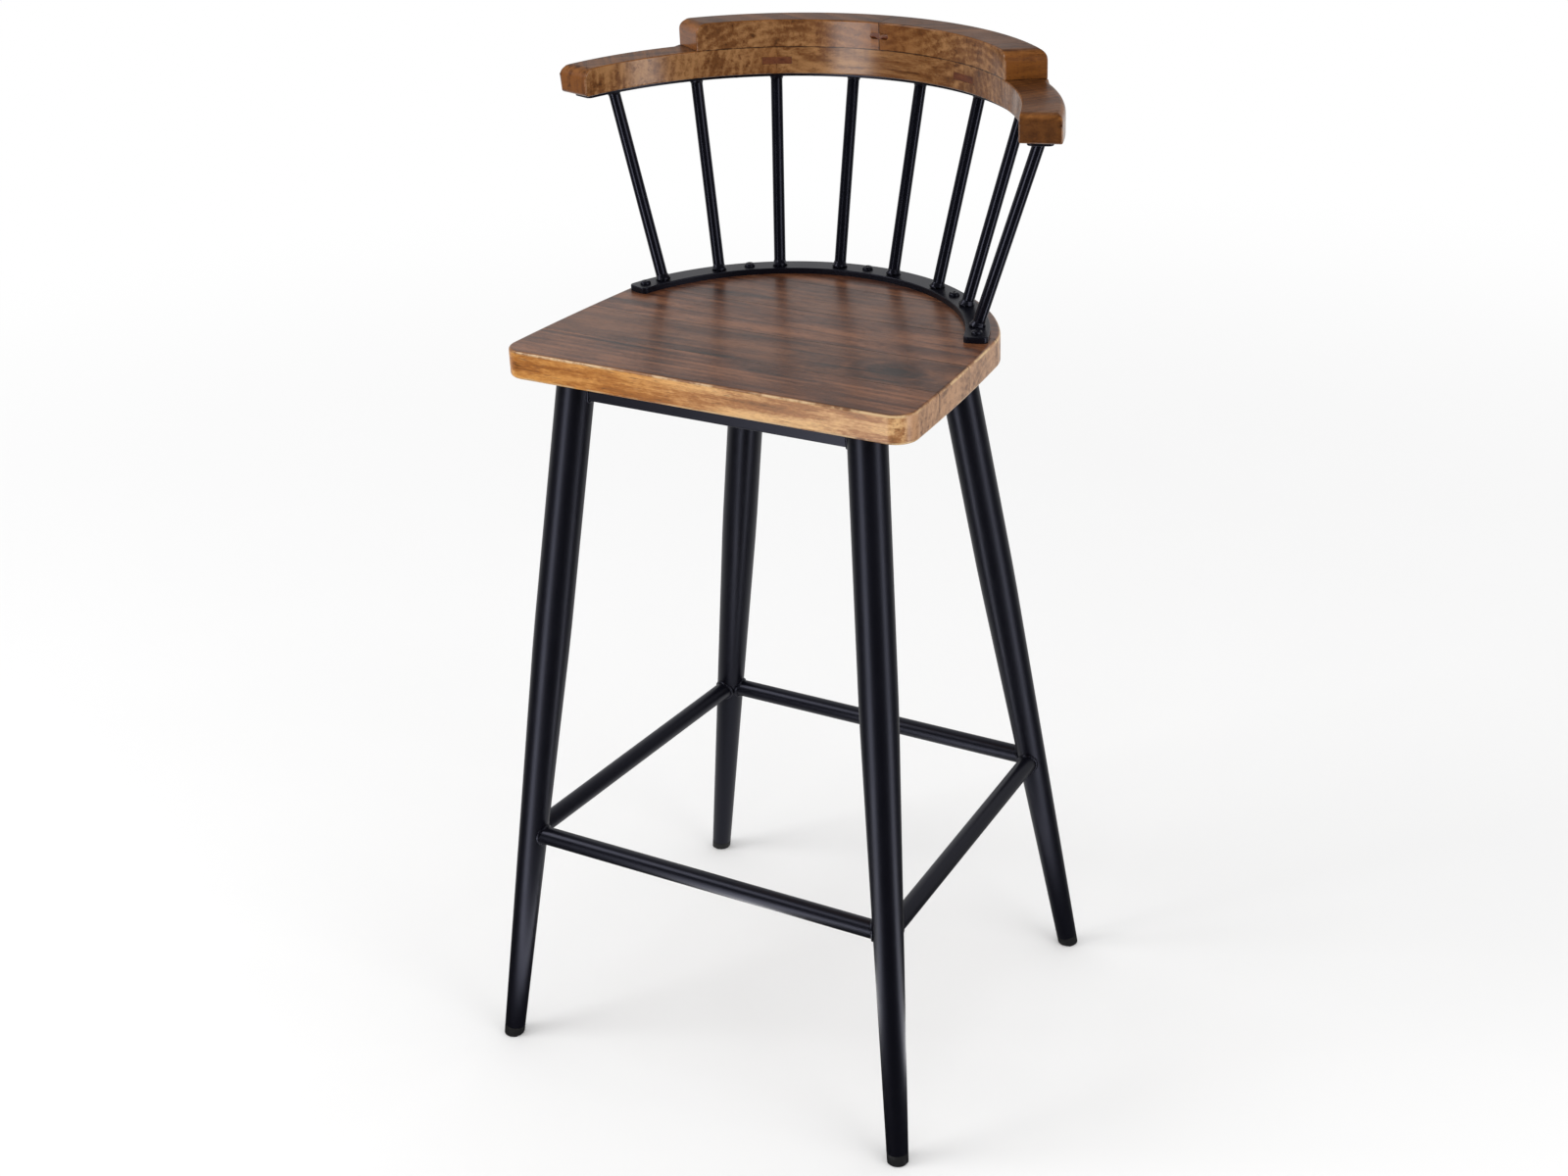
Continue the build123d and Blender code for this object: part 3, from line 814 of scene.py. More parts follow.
def seat_blank():
    """The whole seat in one piece: a round back, bowed sides and a straight front."""
    sizes = bpy.context.scene.stool_seat
    nothing_selected()
    bpy.ops.mesh.primitive_circle_add(
        vertices=150, radius=sizes.back_radius, location=(0, sizes.back_centre, sizes.underside)
    )
    blank = added("seat_blank")
    edit(blank)
    corner_y = sizes.back_corner[1]
    cut((0, corner_y, 0), BACKWARDS, fill=False, keep="front")
    crowded = corner_y + 1.4 * sizes.back_round
    pick(blank, "VERT", lambda corner: corner_y + 0.01 * MM < corner.co.y < crowded)
    bpy.ops.mesh.dissolve_verts()
    for sign in (-1, 1):
        pick(blank, "VERT", lambda corner: near(corner.co.y, corner_y) and corner.co.x * sign > 0)
        start = Vector((sizes.back_corner[0], corner_y))
        bowed = bow(start, Vector(sizes.side_middle), Vector(sizes.front_corner), 10)
        for here, after in zip([start] + bowed, bowed):
            step = after - here
            stride = (sign * step.x, step.y, 0)
            bpy.ops.mesh.extrude_vertices_move(TRANSFORM_OT_translate={"value": stride})
    pick(blank, "VERT", lambda corner: near(corner.co.y, sizes.front_corner[1]))
    bpy.ops.mesh.edge_face_add()
    all_selected()
    bpy.ops.mesh.edge_face_add()
    pick(blank, "VERT", lambda corner: near(corner.co.y, corner_y))
    bpy.ops.mesh.bevel(offset=sizes.back_round, segments=8, affect="VERTICES")
    pick(blank, "VERT", lambda corner: near(corner.co.y, sizes.front_corner[1]))
    bpy.ops.mesh.bevel(offset=sizes.front_round, segments=14, affect="VERTICES")
    all_selected()
    push((0, 0, sizes.top - sizes.underside))
    whole()
    round_edges(blank, sizes.edge_round, 5, flat, 60)
    nothing_selected()
    return blank


def bow(start, middle, finish, steps):
    """Points on the arc through three points, without its start."""
    ax, ay = middle - start
    bx, by = finish - start
    twice = 2 * (ax * by - ay * bx)
    centre = start + Vector((
        (by * (ax * ax + ay * ay) - ay * (bx * bx + by * by)) / twice,
        (ax * (bx * bx + by * by) - bx * (ax * ax + ay * ay)) / twice,
    ))
    first = start - centre
    sweep = first.angle_signed(finish - centre)
    points = []
    for step in range(1, steps + 1):
        turn = -sweep * step / steps
        points.append(centre + Vector((
            first.x * cos(turn) - first.y * sin(turn),
            first.x * sin(turn) + first.y * cos(turn),
        )))
    return points


def board(blank, number, front, back):
    """One board of the seat, sawn from the blank, with a fine groove at its joints."""
    sizes = bpy.context.scene.stool_seat
    plank = copy_of(blank, f"board_{number}")
    edit(plank)
    if number > 1:
        cut((0, front, 0), BACKWARDS, keep="front")
    if number < 5:
        cut((0, back, 0), BACKWARDS)
    whole()
    joints = [y for y, sawn in ((front, number > 1), (back, number < 5)) if sawn]
    at_joint = [in_plane(Vector((0, y, 0)), BACKWARDS) for y in joints]
    round_edges(
        plank, sizes.joint_gap, 1, lambda edge: any(both(edge, test) for test in at_joint), 20
    )
    smooth(plank)
    return plank


# ---- Bands and spindles ----------------------------------------------------------------


def band(name, centre_y, inner, outer, bottom, top, half, rim_up):
    """A flat curved bar with rounded corners and one eased rim."""
    sizes = bpy.context.scene.stool_back
    strip = swept(name, centre_y, inner, outer, bottom, top, -half, half, 96)
    at_end = at_turn(centre_y, half)
    round_edges(
        strip, sizes.band_corner, 7,
        lambda edge: upright(edge, (top - bottom) / 2) and both(edge, at_end), 60,
    )
    round_edges(strip, sizes.band_edge, 3, ends(level(top if rim_up else bottom)), 60)
    whole()
    smooth(strip)
    return strip


def spindle_line(number):
    """Where a spindle stands on the lower band and meets the upper one."""
    sizes = bpy.context.scene.stool_back
    side = 1 if number > 4 else -1
    place_out = number - 5 if side > 0 else 4 - number
    foot_turn = side * radians(SPINDLE_FOOT_TURNS[place_out])
    head_turn = side * radians(SPINDLE_HEAD_TURNS[place_out])
    foot_radius = (sizes.lower_inner + sizes.lower_outer) / 2
    head_radius = (sizes.upper_inner + sizes.upper_outer) / 2
    foot = on_arc(sizes.band_centre, foot_radius, foot_turn, sizes.lower_top)
    head = on_arc(sizes.rail_centre, head_radius, head_turn, sizes.upper_bottom)
    return foot, head


def spindle(number):
    """One spindle, cut level on the lower band and under the upper one."""
    sizes = bpy.context.scene.stool_back
    foot, head = spindle_line(number)
    extra = (head - foot).normalized() * sizes.spindle
    bar = rod(f"upright_{number}", foot - extra, head + extra, sizes.spindle / 2, 40)
    edit(bar)
    cut(foot, UP, keep="front")
    cut(head, UP)
    whole()
    smooth(bar)
    return bar


def collar(number, at_foot):
    """A spindle's weld on its band: a flared, uneven ring that hugs the rod."""
    sizes = bpy.context.scene.stool_back
    foot, head = spindle_line(number)
    near_end, far_end = (foot, head) if at_foot else (head, foot)
    along = (far_end - near_end).normalized()
    flare = sizes.collar - sizes.spindle / 2
    reach = along * sizes.collar_height
    ring = cone(
        f"collar_{number}", near_end - reach, near_end + reach,
        sizes.collar + flare, sizes.spindle / 2 + 0.15 * MM, 28,
    )
    edit(ring)
    cut(near_end, UP, keep="front" if at_foot else "behind")
    for part_way, pinch in ((0.35, 0.88), (0.7, 0.94)):
        waist = near_end + along * sizes.collar_height * part_way
        cut(waist, along, fill=False, keep="both")
        in_waist = in_plane(waist, along, 0.01 * MM)
        pick(ring, "VERT", lambda corner: in_waist(corner.co))
        bpy.ops.transform.resize(value=(pinch, pinch, 1), center_override=waist)
    whole()
    nothing_selected()
    return ring


# ---- Wooden back rail ------------------------------------------------------------------


def crest_plane():
    """A point and the outward normal of the crest's slanted end."""
    sizes = bpy.context.scene.stool_back
    point = on_arc(sizes.rail_centre, sizes.rail_inner, sizes.crest_half, sizes.arm_top)
    normal = Vector((sin(sizes.crest_cut), -cos(sizes.crest_cut), 0))
    return point, normal


def rounded_end(piece, point, normal, top, radius):
    """Round the top of an open piece's end with a fan of cuts about a level line."""
    facets = 9
    centre = point - normal * radius
    centre.z = top - radius
    for step in range(1, facets):
        lean = step / facets * pi / 2
        facing = normal * cos(lean) + Vector((0, 0, sin(lean)))
        cut(centre + facing * radius, facing)
    whole()


def arm():
    """The right arm: square under the crest, well rounded where it is free."""
    sizes = bpy.context.scene.stool_back
    centre_y = sizes.rail_centre
    piece = swept(
        "right_arm", centre_y, sizes.rail_inner, sizes.rail_outer, sizes.rail_bottom, sizes.arm_top,
        sizes.joint_half, sizes.arm_half, 24,
    )
    free = sizes.crest_half + ARM_FREE_FROM
    on_top = level(sizes.arm_top)
    at_joint = at_turn(centre_y, sizes.joint_half)
    outside = at_radius(centre_y, sizes.rail_outer)
    round_edges(
        piece, sizes.big_round, 8,
        ends(on_top, outside, lambda point: turn_of(point, centre_y) > free),
    )
    end = on_arc(centre_y, sizes.rail_inner, sizes.arm_half)
    outward = on_arc(0, 1, sizes.arm_half + pi / 2)
    rounded_end(piece, end, outward, sizes.arm_top, sizes.end_round)
    at_end = in_plane(end, outward, 0.05 * MM)
    below = ends(at_end, level(sizes.rail_bottom))
    beside = ends(at_end, at_radius(centre_y, sizes.rail_outer, 0.3 * MM))
    round_edges(piece, sizes.corner_round, 6, lambda edge: below(edge) or beside(edge), 50)
    round_edges(
        piece, sizes.small_round, 4,
        lambda edge: not both(edge, at_joint) and not (
            both(edge, on_top) and turn_of(edge.verts[0].co, centre_y) < sizes.crest_half
        ), 50,
    )
    round_edges(piece, sizes.seam, 1, ends(at_joint), 50)
    whole()
    nothing_selected()
    return piece


def rail_middle():
    """The middle of the lower layer, between the two arms."""
    sizes = bpy.context.scene.stool_back
    centre_y = sizes.rail_centre
    piece = swept(
        "middle_rail", centre_y, sizes.rail_inner, sizes.rail_outer, sizes.rail_bottom,
        sizes.arm_top, -sizes.joint_half, sizes.joint_half, 26,
    )
    at_joint = ends(at_turn(centre_y, sizes.joint_half))
    below = ends(level(sizes.rail_bottom))
    round_edges(piece, sizes.small_round, 4, lambda edge: below(edge) and not at_joint(edge), 50)
    round_edges(piece, sizes.seam, 1, at_joint, 50)
    whole()
    nothing_selected()
    return piece


def crest():
    """The right half of the crest, with a slanted, rounded end."""
    sizes = bpy.context.scene.stool_back
    centre_y = sizes.rail_centre
    last_ring = sizes.crest_half - CREST_STRETCH / 2
    piece = swept(
        "right_crest", centre_y, sizes.rail_inner, sizes.rail_outer, sizes.arm_top, sizes.crest_top,
        0, last_ring, 20,
    )
    at_last = at_turn(centre_y, last_ring)
    pick(piece, "FACE", lambda face: at_last(face.calc_center_median()))
    bpy.ops.mesh.spin(steps=1, angle=CREST_STRETCH, center=(0, centre_y, 0), axis=(0, 0, 1))
    whole()
    point, normal = crest_plane()
    cut(point, normal)
    whole()
    outside = at_radius(centre_y, sizes.rail_outer, 0.3 * MM)
    round_edges(piece, sizes.big_round, 8, ends(level(sizes.crest_top), outside))
    rounded_end(piece, point, normal, sizes.crest_top, sizes.end_round)
    at_middle = ends(in_plane(Vector(), Vector((1, 0, 0))))
    below = ends(level(sizes.arm_top))
    round_edges(
        piece, sizes.small_round, 4, lambda edge: not at_middle(edge) and not below(edge), 50
    )
    round_edges(piece, sizes.seam, 1, lambda edge: at_middle(edge) or below(edge), 50)
    whole()
    nothing_selected()
    return piece


def key_blank(name, turn, height, wide, tall, margin, end_round):
    """A key that follows the rail's inner face, or with a margin the pocket that it fills."""
    sizes = bpy.context.scene.stool_back
    centre_y = sizes.rail_centre
    half = (wide / 2 + margin) / sizes.rail_inner
    inner = sizes.rail_inner - (2 * MM if margin else -0.05 * MM)
    key = swept(
        name, centre_y, inner, sizes.rail_inner + sizes.key_depth,
        height - tall / 2 - margin, height + tall / 2 + margin, turn - half, turn + half, 4,
    )

    def at_end(edge):
        return abs(abs(turn_of(edge.verts[0].co, centre_y) - turn) - half) < TURN_SLACK

    if end_round:
        round_edges(key, end_round + margin, 6, lambda edge: at_end(edge) and flat(edge), 60)
    else:
        round_edges(key, 0.15 * MM, 1, ends(at_radius(centre_y, inner)), 60)
    whole()
    nothing_selected()
    return key


# ---- Finishes --------------------------------------------------------------------------


class Wire:
    """One output of a finish's nodes. Arithmetic on it adds Math nodes."""

    def __init__(self, finish, socket):
        self.finish = finish
        self.socket = socket

    def math(self, operation, *values):
        return self.finish.node(
            "ShaderNodeMath", {"operation": operation}, dict(enumerate(values))
        )

    def __add__(self, other):
        return self.math("ADD", self, other)

    def __sub__(self, other):
        return self.math("SUBTRACT", self, other)

    def __rsub__(self, other):
        return self.math("SUBTRACT", other, self)

    def __mul__(self, other):
        return self.math("MULTIPLY", self, other)

    def __pow__(self, other):
        return self.math("POWER", self, other)

    __radd__ = __add__
    __rmul__ = __mul__

    def size(self):
        return self.math("ABSOLUTE", self)

    def wave(self):
        return self.math("SINE", self)


class Finish:
    """The nodes of a material, or of a node tree that is there already."""

    def __init__(self, name, tree=None):
        self.tree = tree
        if tree is None:
            self.material = bpy.data.materials.new(name)
            self.material.use_nodes = True
            self.tree = self.material.node_tree
            self.tree.nodes.clear()

    def node(self, kind, settings=None, inputs=None, output=0):
        """Add a node, set it up, then fill or link its inputs; returns one of its outputs."""
        node = self.tree.nodes.new(kind)
        for setting, value in (settings or {}).items():
            if setting == "stops":
                ramp = node.color_ramp.elements
                for stop in list(ramp)[1:]:
                    ramp.remove(stop)
                for number, (spot, shade) in enumerate(value):
                    stop = ramp.new(spot) if number else ramp[0]
                    stop.position = spot
                    stop.color = (*shade, 1)
            else:
                setattr(node, setting, value)
        for name, value in (inputs or {}).items():
            if isinstance(value, Wire):
                self.tree.links.new(value.socket, node.inputs[name])
            else:
                node.inputs[name].default_value = value
        return Wire(self, node.outputs[output]) if node.outputs else None

    def at(self):
        """The place on the piece, in metres."""
        return self.node("ShaderNodeTexCoord", output="Object")

    def part(self, vector, axis):
        """One part of a vector."""
        return self.node("ShaderNodeSeparateXYZ", inputs={0: vector}, output=axis)

    def vector(self, operation, *vectors, output=0):
        """Vector Math on vectors."""
        return self.node(
            "ShaderNodeVectorMath", {"operation": operation}, dict(enumerate(vectors)), output
        )

    def towards(self, direction, heading):
        """How far a direction agrees with a heading, as their dot product."""
        return self.vector("DOT_PRODUCT", direction, heading, output="Value")

    def noise(self, vector, scales, detail=3.0, rough=0.5, bend=0.0):
        """Noise with so many features to the metre along each axis."""
        return self.node(
            "ShaderNodeTexNoise",
            inputs={
                "Vector": self.vector("MULTIPLY", vector, scales),
                "Scale": 1.0,
                "Detail": detail,
                "Roughness": rough,
                "Distortion": bend,
            },
        )

    def ease(self, value, low, high, start=0.0, finish=1.0):
        """A soft step from start to finish as the value goes from low to high."""
        return self.node(
            "ShaderNodeMapRange",
            {"interpolation_type": "SMOOTHSTEP"},
            {"Value": value, "From Min": low, "From Max": high, "To Min": start, "To Max": finish},
        )

    def mix(self, share, first, second):
        """A colour between two colours."""
        colours = [each if isinstance(each, Wire) else (*each, 1) for each in (first, second)]
        return self.node(
            "ShaderNodeMix",
            {"data_type": "RGBA"},
            {0: share, 6: colours[0], 7: colours[1]},
            output=2,
        )

    def shade(self, value, stops):
        """A colour from a ramp of stops."""
        return self.node("ShaderNodeValToRGB", {"stops": stops}, {0: value})

    def bump(self, height, depth, strength):
        """A normal from a height, whose full range is so deep."""
        return self.node(
            "ShaderNodeBump", inputs={"Strength": strength, "Distance": depth, "Height": height}
        )

    def closed(self, shader):
        """End the finish in a shader and return its material."""
        self.node("ShaderNodeOutputMaterial", inputs={"Surface": shader})
        return self.material

    def surface(self, **sockets):
        """End the finish in its Principled shader, with sockets named by their words."""
        return self.closed(self.node(
            "ShaderNodeBsdfPrincipled",
            inputs={name.replace("_", " "): value for name, value in sockets.items()},
        ))


def scaled(tone, share):
    """A tone made darker, or lighter with a share above 1."""
    return tuple(part * share for part in tone)


def tones_of(*names):
    """The named colours of the finishes, as plain numbers."""
    colours = bpy.context.scene.stool_colours
    return [tuple(getattr(colours, name)) for name in names]


def wood(
    name, turn, shift, tones, sides_painted_lighter, warm, ends=(), end_tones=None, ripple=0.0, knots=(), joints=(),
    highlight_rims=(), pith=(0.0, 0.72), mottle=1.0, gloss=0.5, coat=(0.15, 0.15),
):
    """Oiled and lacquered hardwood.

    The grain runs along X once the piece is turned and shifted, and pith is the Y and Z of
    the tree's heart there. tones are the dark, middle and light of faces that look up, and
    sides_painted_lighter the middle and light of upright faces at the left and at the right;
    the tops are painted darker and the upright faces lighter, as painted shade and light. warm
    is the tone of rounded edges, a warmer tone with a painted highlight. ends are the
    directions that end grain faces, and end_tones its dark and light. ripple is how strong
    the cross figure is and mottle how strong the spots are.
    knots are places and reaches. joints are glue lines and highlight_rims are pale lines of
    painted highlight along the rims, each an axis and a place on it. gloss is the specular
    level of the wood itself, and coat the lacquer's weight on upright and on upward faces.
    """
    finish = Finish(name)
    place_on = finish.at()
    laid = finish.node(
        "ShaderNodeMapping",
        inputs={"Vector": place_on, "Rotation": (0, 0, turn), "Location": shift},
    )
    x, y, z = (finish.part(laid, axis) for axis in "XYZ")

    drift = finish.noise(laid, (3, 11, 11), 2, 0.5) - 0.5
    sag = finish.noise(laid, (2, 7, 7), 2, 0.5) - 0.5
    flow = y - pith[0] + drift * 0.012
    depth = z - pith[1] + sag * 0.010
    swirl = None
    for knot_x, knot_y, reach in knots:
        away = ((x - knot_x) * (x - knot_x) * 0.30 + (y - knot_y) * (y - knot_y)) ** 0.5
        swirl = finish.ease(away, 0.0, reach * 1.7, 1.0, 0.0)
        depth = depth + swirl * 0.022
    spread = (flow * flow + depth * depth) ** 0.5
    wave = (spread * 760.0 + finish.noise(laid, (7, 40, 40), 3, 0.6) * 4.0).wave() * 0.5 + 0.5
    broad = finish.noise(laid, (6, 34, 34), 4, 0.6, 0.3)
    streak = finish.noise(laid, (8, 170, 170), 5, 0.65, 0.1)
    thread = finish.noise(laid, (40, 1000, 1000), 3, 0.6)
    pores = finish.ease(finish.noise(laid, (80, 1500, 1500), 2, 0.5), 0.60, 0.72)
    blot = finish.noise(laid, (14, 40, 40), 3, 0.55, 0.5)
    speck = finish.noise(laid, (160, 520, 520), 2, 0.6)
    vein = finish.ease(finish.noise(laid, (4, 120, 120), 3, 0.6, 0.25), 0.58, 0.70)

    tone = (
        wave * wave * 0.11 + broad * 0.70 + streak * 0.70 + thread * 0.26 - vein * 0.20
        + (blot + speck - 1.0) * 0.34 * mottle - 0.32
    )
    if ripple:
        across = finish.noise(laid, (230, 6, 12), 2, 0.5, 0.2)
        where = finish.ease(finish.noise(laid, (8, 7, 20), 1), 0.38, 0.60)
        tone = tone + (across - 0.5) * where * ripple
    if swirl is not None:
        tone = tone - swirl * swirl * 0.36

    dark, middle, light = tones
    body = finish.shade(tone, ((0.24, dark), (0.48, middle), (0.74, light)))
    side = finish.ease(finish.part(place_on, "X"), -0.12, 0.10)
    flanks = [
        finish.shade(tone, ((0.22, scaled(low, 0.42)), (0.46, low), (0.72, high)))
        for low, high in sides_painted_lighter
    ]
    flank = finish.mix(side, *flanks)
    normal = finish.node("ShaderNodeNewGeometry", output="Normal")
    facing = finish.part(normal, "Z")
    # Painted light and shade: faces that look up take the darker top tones, and upright faces take
    # the lighter side tones.
    colour_on = finish.mix(finish.ease(facing, 0.60, 0.97), flank, body)
    # Painted highlight: rounded upper edges, between upright and upward faces, take a lighter tone
    # as if they caught the light; part of it is the warmer tone of the wood at its worn edges.
    edge_highlight_mask = finish.ease(facing, 0.10, 0.42) * finish.ease(facing, 0.78, 0.97, 1.0, 0.0)
    rounding = finish.shade(tone, ((0.25, scaled(warm, 0.45)), (0.70, warm)))
    colour_on = finish.mix(edge_highlight_mask * 0.75, colour_on, rounding)
    for direction in ends:
        outward = finish.towards(normal, direction)
        crosscut = finish.shade(tone, ((0.28, end_tones[0]), (0.66, end_tones[1])))
        colour_on = finish.mix(finish.ease(outward, 0.62, 0.90), colour_on, crosscut)
    # Painted highlight: a pale line along the rounded rims, broken into patches like rubbed wear.
    for axis, spot in highlight_rims:
        gap = (finish.part(place_on, axis) - spot).size()
        rim_highlight = finish.ease(gap, 0.5 * MM, 1.5 * MM, 1.0, 0.0)
        patchy = finish.ease(finish.noise(place_on, (38, 38, 60), 4, 0.65), 0.40, 0.58, 0.0, 0.85)
        colour_on = finish.mix(rim_highlight * patchy, colour_on, RIM_HIGHLIGHT)
    colour_on = finish.mix(pores * 0.55, colour_on, scaled(dark, 0.35))
    for axis, spot in joints:
        gap = (finish.part(place_on, axis) - spot).size()
        ragged = (finish.noise(place_on, (90, 260, 260), 2, 0.6) - 0.5) * 1.6 * MM
        glue = finish.ease(gap + ragged, 0.25 * MM, 0.80 * MM, 0.80, 0.0)
        if axis == "Z":
            glue = glue * finish.ease(facing, 0.30, 0.70, 1.0, 0.0)
        colour_on = finish.mix(glue, colour_on, GLUE)

    smear = finish.noise(place_on, (30, 30, 30), 3, 0.6)
    height = thread * 0.5 + streak * 0.8 - pores * 0.9
    return finish.surface(
        Base_Color=colour_on,
        Roughness=0.25 + smear * 0.14 + streak * 0.06 + pores * 0.12,
        Normal=finish.bump(height, 0.12 * MM, 0.55),
        Specular_IOR_Level=gloss,
        Coat_Weight=finish.ease(facing, 0.30, 0.80, *coat),
        Coat_Roughness=0.18,
        IOR=1.46,
    )


def powder_coat(name, tone, rough=0.33, grain=0.03):
    """Satin black powder coat, with its fine orange-peel skin."""
    finish = Finish(name)
    spot = finish.at()
    cloud = finish.noise(spot, (25, 25, 25), 4, 0.6)
    fleck = finish.noise(spot, (1500, 1500, 1500), 2, 0.6)
    peel = finish.noise(spot, (520, 520, 520), 3, 0.5)
    colour_on = finish.mix(cloud * 0.6 + fleck * 0.4, scaled(tone, 0.72), scaled(tone, 1.45))
    return finish.surface(
        Base_Color=colour_on,
        Roughness=rough - 0.07 + cloud * 0.10 + fleck * 0.05,
        Normal=finish.bump(peel + fleck * 0.35, grain * MM, 0.5),
        Specular_IOR_Level=0.36,
        Specular_Tint=(0.74, 0.76, 1.0, 1.0),
    )


def moulded(name, tone):
    """Matt black moulded plastic."""
    finish = Finish(name)
    spot = finish.at()
    skin = finish.noise(spot, (2200, 2200, 2200), 3, 0.6)
    scuff = finish.noise(spot, (160, 160, 60), 4, 0.65)
    colour_on = finish.mix(
        finish.ease(scuff, 0.5, 0.75), tone, tuple(part * 2.2 + 0.004 for part in tone)
    )
    return finish.surface(
        Base_Color=colour_on,
        Roughness=0.48 + scuff * 0.16,
        Normal=finish.bump(skin + scuff * 0.5, 0.05 * MM, 0.6),
        Specular_IOR_Level=0.25,
    )


def softboxes(room, outward, stage):
    """How bright the studio is in a direction, as polished things mirror it."""
    total = stage.room_power
    for turn, reach, brightness in (
        (stage.left_box, radians(12), stage.box_power),
        (stage.right_box, radians(11), stage.box_power * 0.8),
        (pi, radians(95), stage.backdrop_power),
    ):
        heading = (sin(turn + stage.yaw), -cos(turn + stage.yaw), 0)
        facing = room.towards(outward, heading)
        total = room.ease(facing, cos(reach), cos(reach * 0.4), 0.0, brightness) + total
    return total


def floor_paper(tone, stage):
    """Pale paper that fades to white away from the stool, and mirrors the softboxes."""
    paper = Finish("floor_paper")
    spot = paper.node("ShaderNodeNewGeometry", output="Position")
    outward = paper.vector("NORMALIZE", spot)
    far = paper.ease(paper.vector("LENGTH", spot, output="Value"), *FLOOR_FADE)
    tint = paper.mix(paper.noise(spot, (3, 3, 3), 3), scaled(tone, 0.985), tone)
    matt = paper.node("ShaderNodeBsdfDiffuse", inputs={"Color": tint})
    white = paper.node("ShaderNodeEmission")
    boxes = paper.node("ShaderNodeEmission", inputs={"Color": softboxes(paper, outward, stage)})
    shown = paper.node("ShaderNodeMixShader", inputs={0: far, 1: matt, 2: white})
    glossy = paper.node("ShaderNodeLightPath", output="Is Glossy Ray")
    return paper.closed(
        paper.node("ShaderNodeMixShader", inputs={0: glossy, 1: shown, 2: boxes})
    )


# ---- Operators -------------------------------------------------------------------------


class STOOL_OT_legs(Operator):
    """Model the four legs and their glides"""

    bl_idname = "stool.legs"
    bl_label = "Legs and glides"

    def execute(self, context):
        steel = powder_coat("leg_black", context.scene.stool_colours.metal, 0.36, 0.03)
        plastic = moulded("glide_black", context.scene.stool_colours.plastic)
        for end, side in CORNERS:
            form = leg_form(end, side)
            fitted(leg_tube(form, end, side), f"leg_{end}_{side}", steel)
            fitted(glide(form, end, side), f"glide_{end}_{side}", plastic)
            remove(form)
        return {"FINISHED"}


class STOOL_OT_frame(Operator):
    """Model the footrest bars, the rails under the seat, their welds and the tabs"""

    bl_idname = "stool.frame"
    bl_label = "Footrest and seat frame"

    def execute(self, context):
        sizes = context.scene.stool_legs
        steel = powder_coat("frame_black", context.scene.stool_colours.metal)
        weld = powder_coat("weld_black", context.scene.stool_colours.metal, 0.27, 0.12)
        forms = {corner: leg_form(*corner) for corner in CORNERS}
        rail_height = sizes.seat_underside - sizes.rail_depth / 2
        for build, kind, height in (
            (footrest_bar, "footrest", sizes.bar_height),
            (seat_rail, "seat_rail", rail_height),
        ):
            beads = []
            for span, (first, second) in SPANS.items():
                bar = build(span, forms)
                beads.append(end_beads(bar, first, second, height))
                smooth(bar)
                fitted(bar, f"{kind}_{span}", steel)
            group = joined(f"{kind}_beads", beads)
            if kind == "seat_rail":
                edit(group)
                cut((0, 0, sizes.seat_underside), UP)
            lumpy(group, sizes.bead_lumps, 4 * MM, 1)
            fitted(group, f"{kind}_welds", weld)
        remove(*forms.values())
        fitted(mounting_tabs(), "mounting_tabs", steel)
        return {"FINISHED"}


class STOOL_OT_seat(Operator):
    """Model the five boards of the seat"""

    bl_idname = "stool.seat"
    bl_label = "Seat boards"

    def execute(self, context):
        colours = context.scene.stool_colours
        seat = context.scene.stool_seat
        tones = tones_of("seat_dark", "seat_mid", "seat_light")
        # The upright faces get lighter tones than the top: painted light.
        sides_painted_lighter = (tones_of("edge_mid", "edge_light"), tones_of("edge_pink", "edge_pale"))
        blank = seat_blank()
        boxes = [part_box(f"seat_board_{number}") for number in range(1, 6)]
        joints = [("Y", low.y) for low, high in boxes[1:]]
        # The painted highlight runs along the seat's top and bottom rims.
        highlight_rims = (("Z", seat.top - RIM_HIGHLIGHT_INSET), ("Z", boxes[0][0].z + RIM_HIGHLIGHT_INSET))
        looks = (
            (1.06, 0.8, 0.03), (0.84, -1.2, -0.05), (1.10, 1.5, 0.02), (0.90, -0.6, -0.01),
            (1.0, 1.0, 0.04),
        )
        for number, (share, lean, heart) in enumerate(looks, 1):
            low, high = boxes[number - 1]
            plank = board(blank, number, low.y, high.y)
            figure = wood(
                f"seat_wood_{number}",
                radians(lean),
                (0.37 * number, 0.021 * (-1) ** number, 0.013 * number),
                [scaled(tone, share) for tone in tones],
                sides_painted_lighter,
                tuple(colours.rounding),
                ends=((-1, 0, 0), (1, 0, 0)),
                end_tones=tones_of("end_dark", "end_light"),
                knots=((0.155 + 0.74, -0.069 + 0.021, 0.021),) if number == 2 else (),
                joints=joints,
                highlight_rims=highlight_rims,
                pith=(heart, 0.70),
            )
            fitted(plank, f"seat_board_{number}", figure)
        remove(blank)
        return {"FINISHED"}


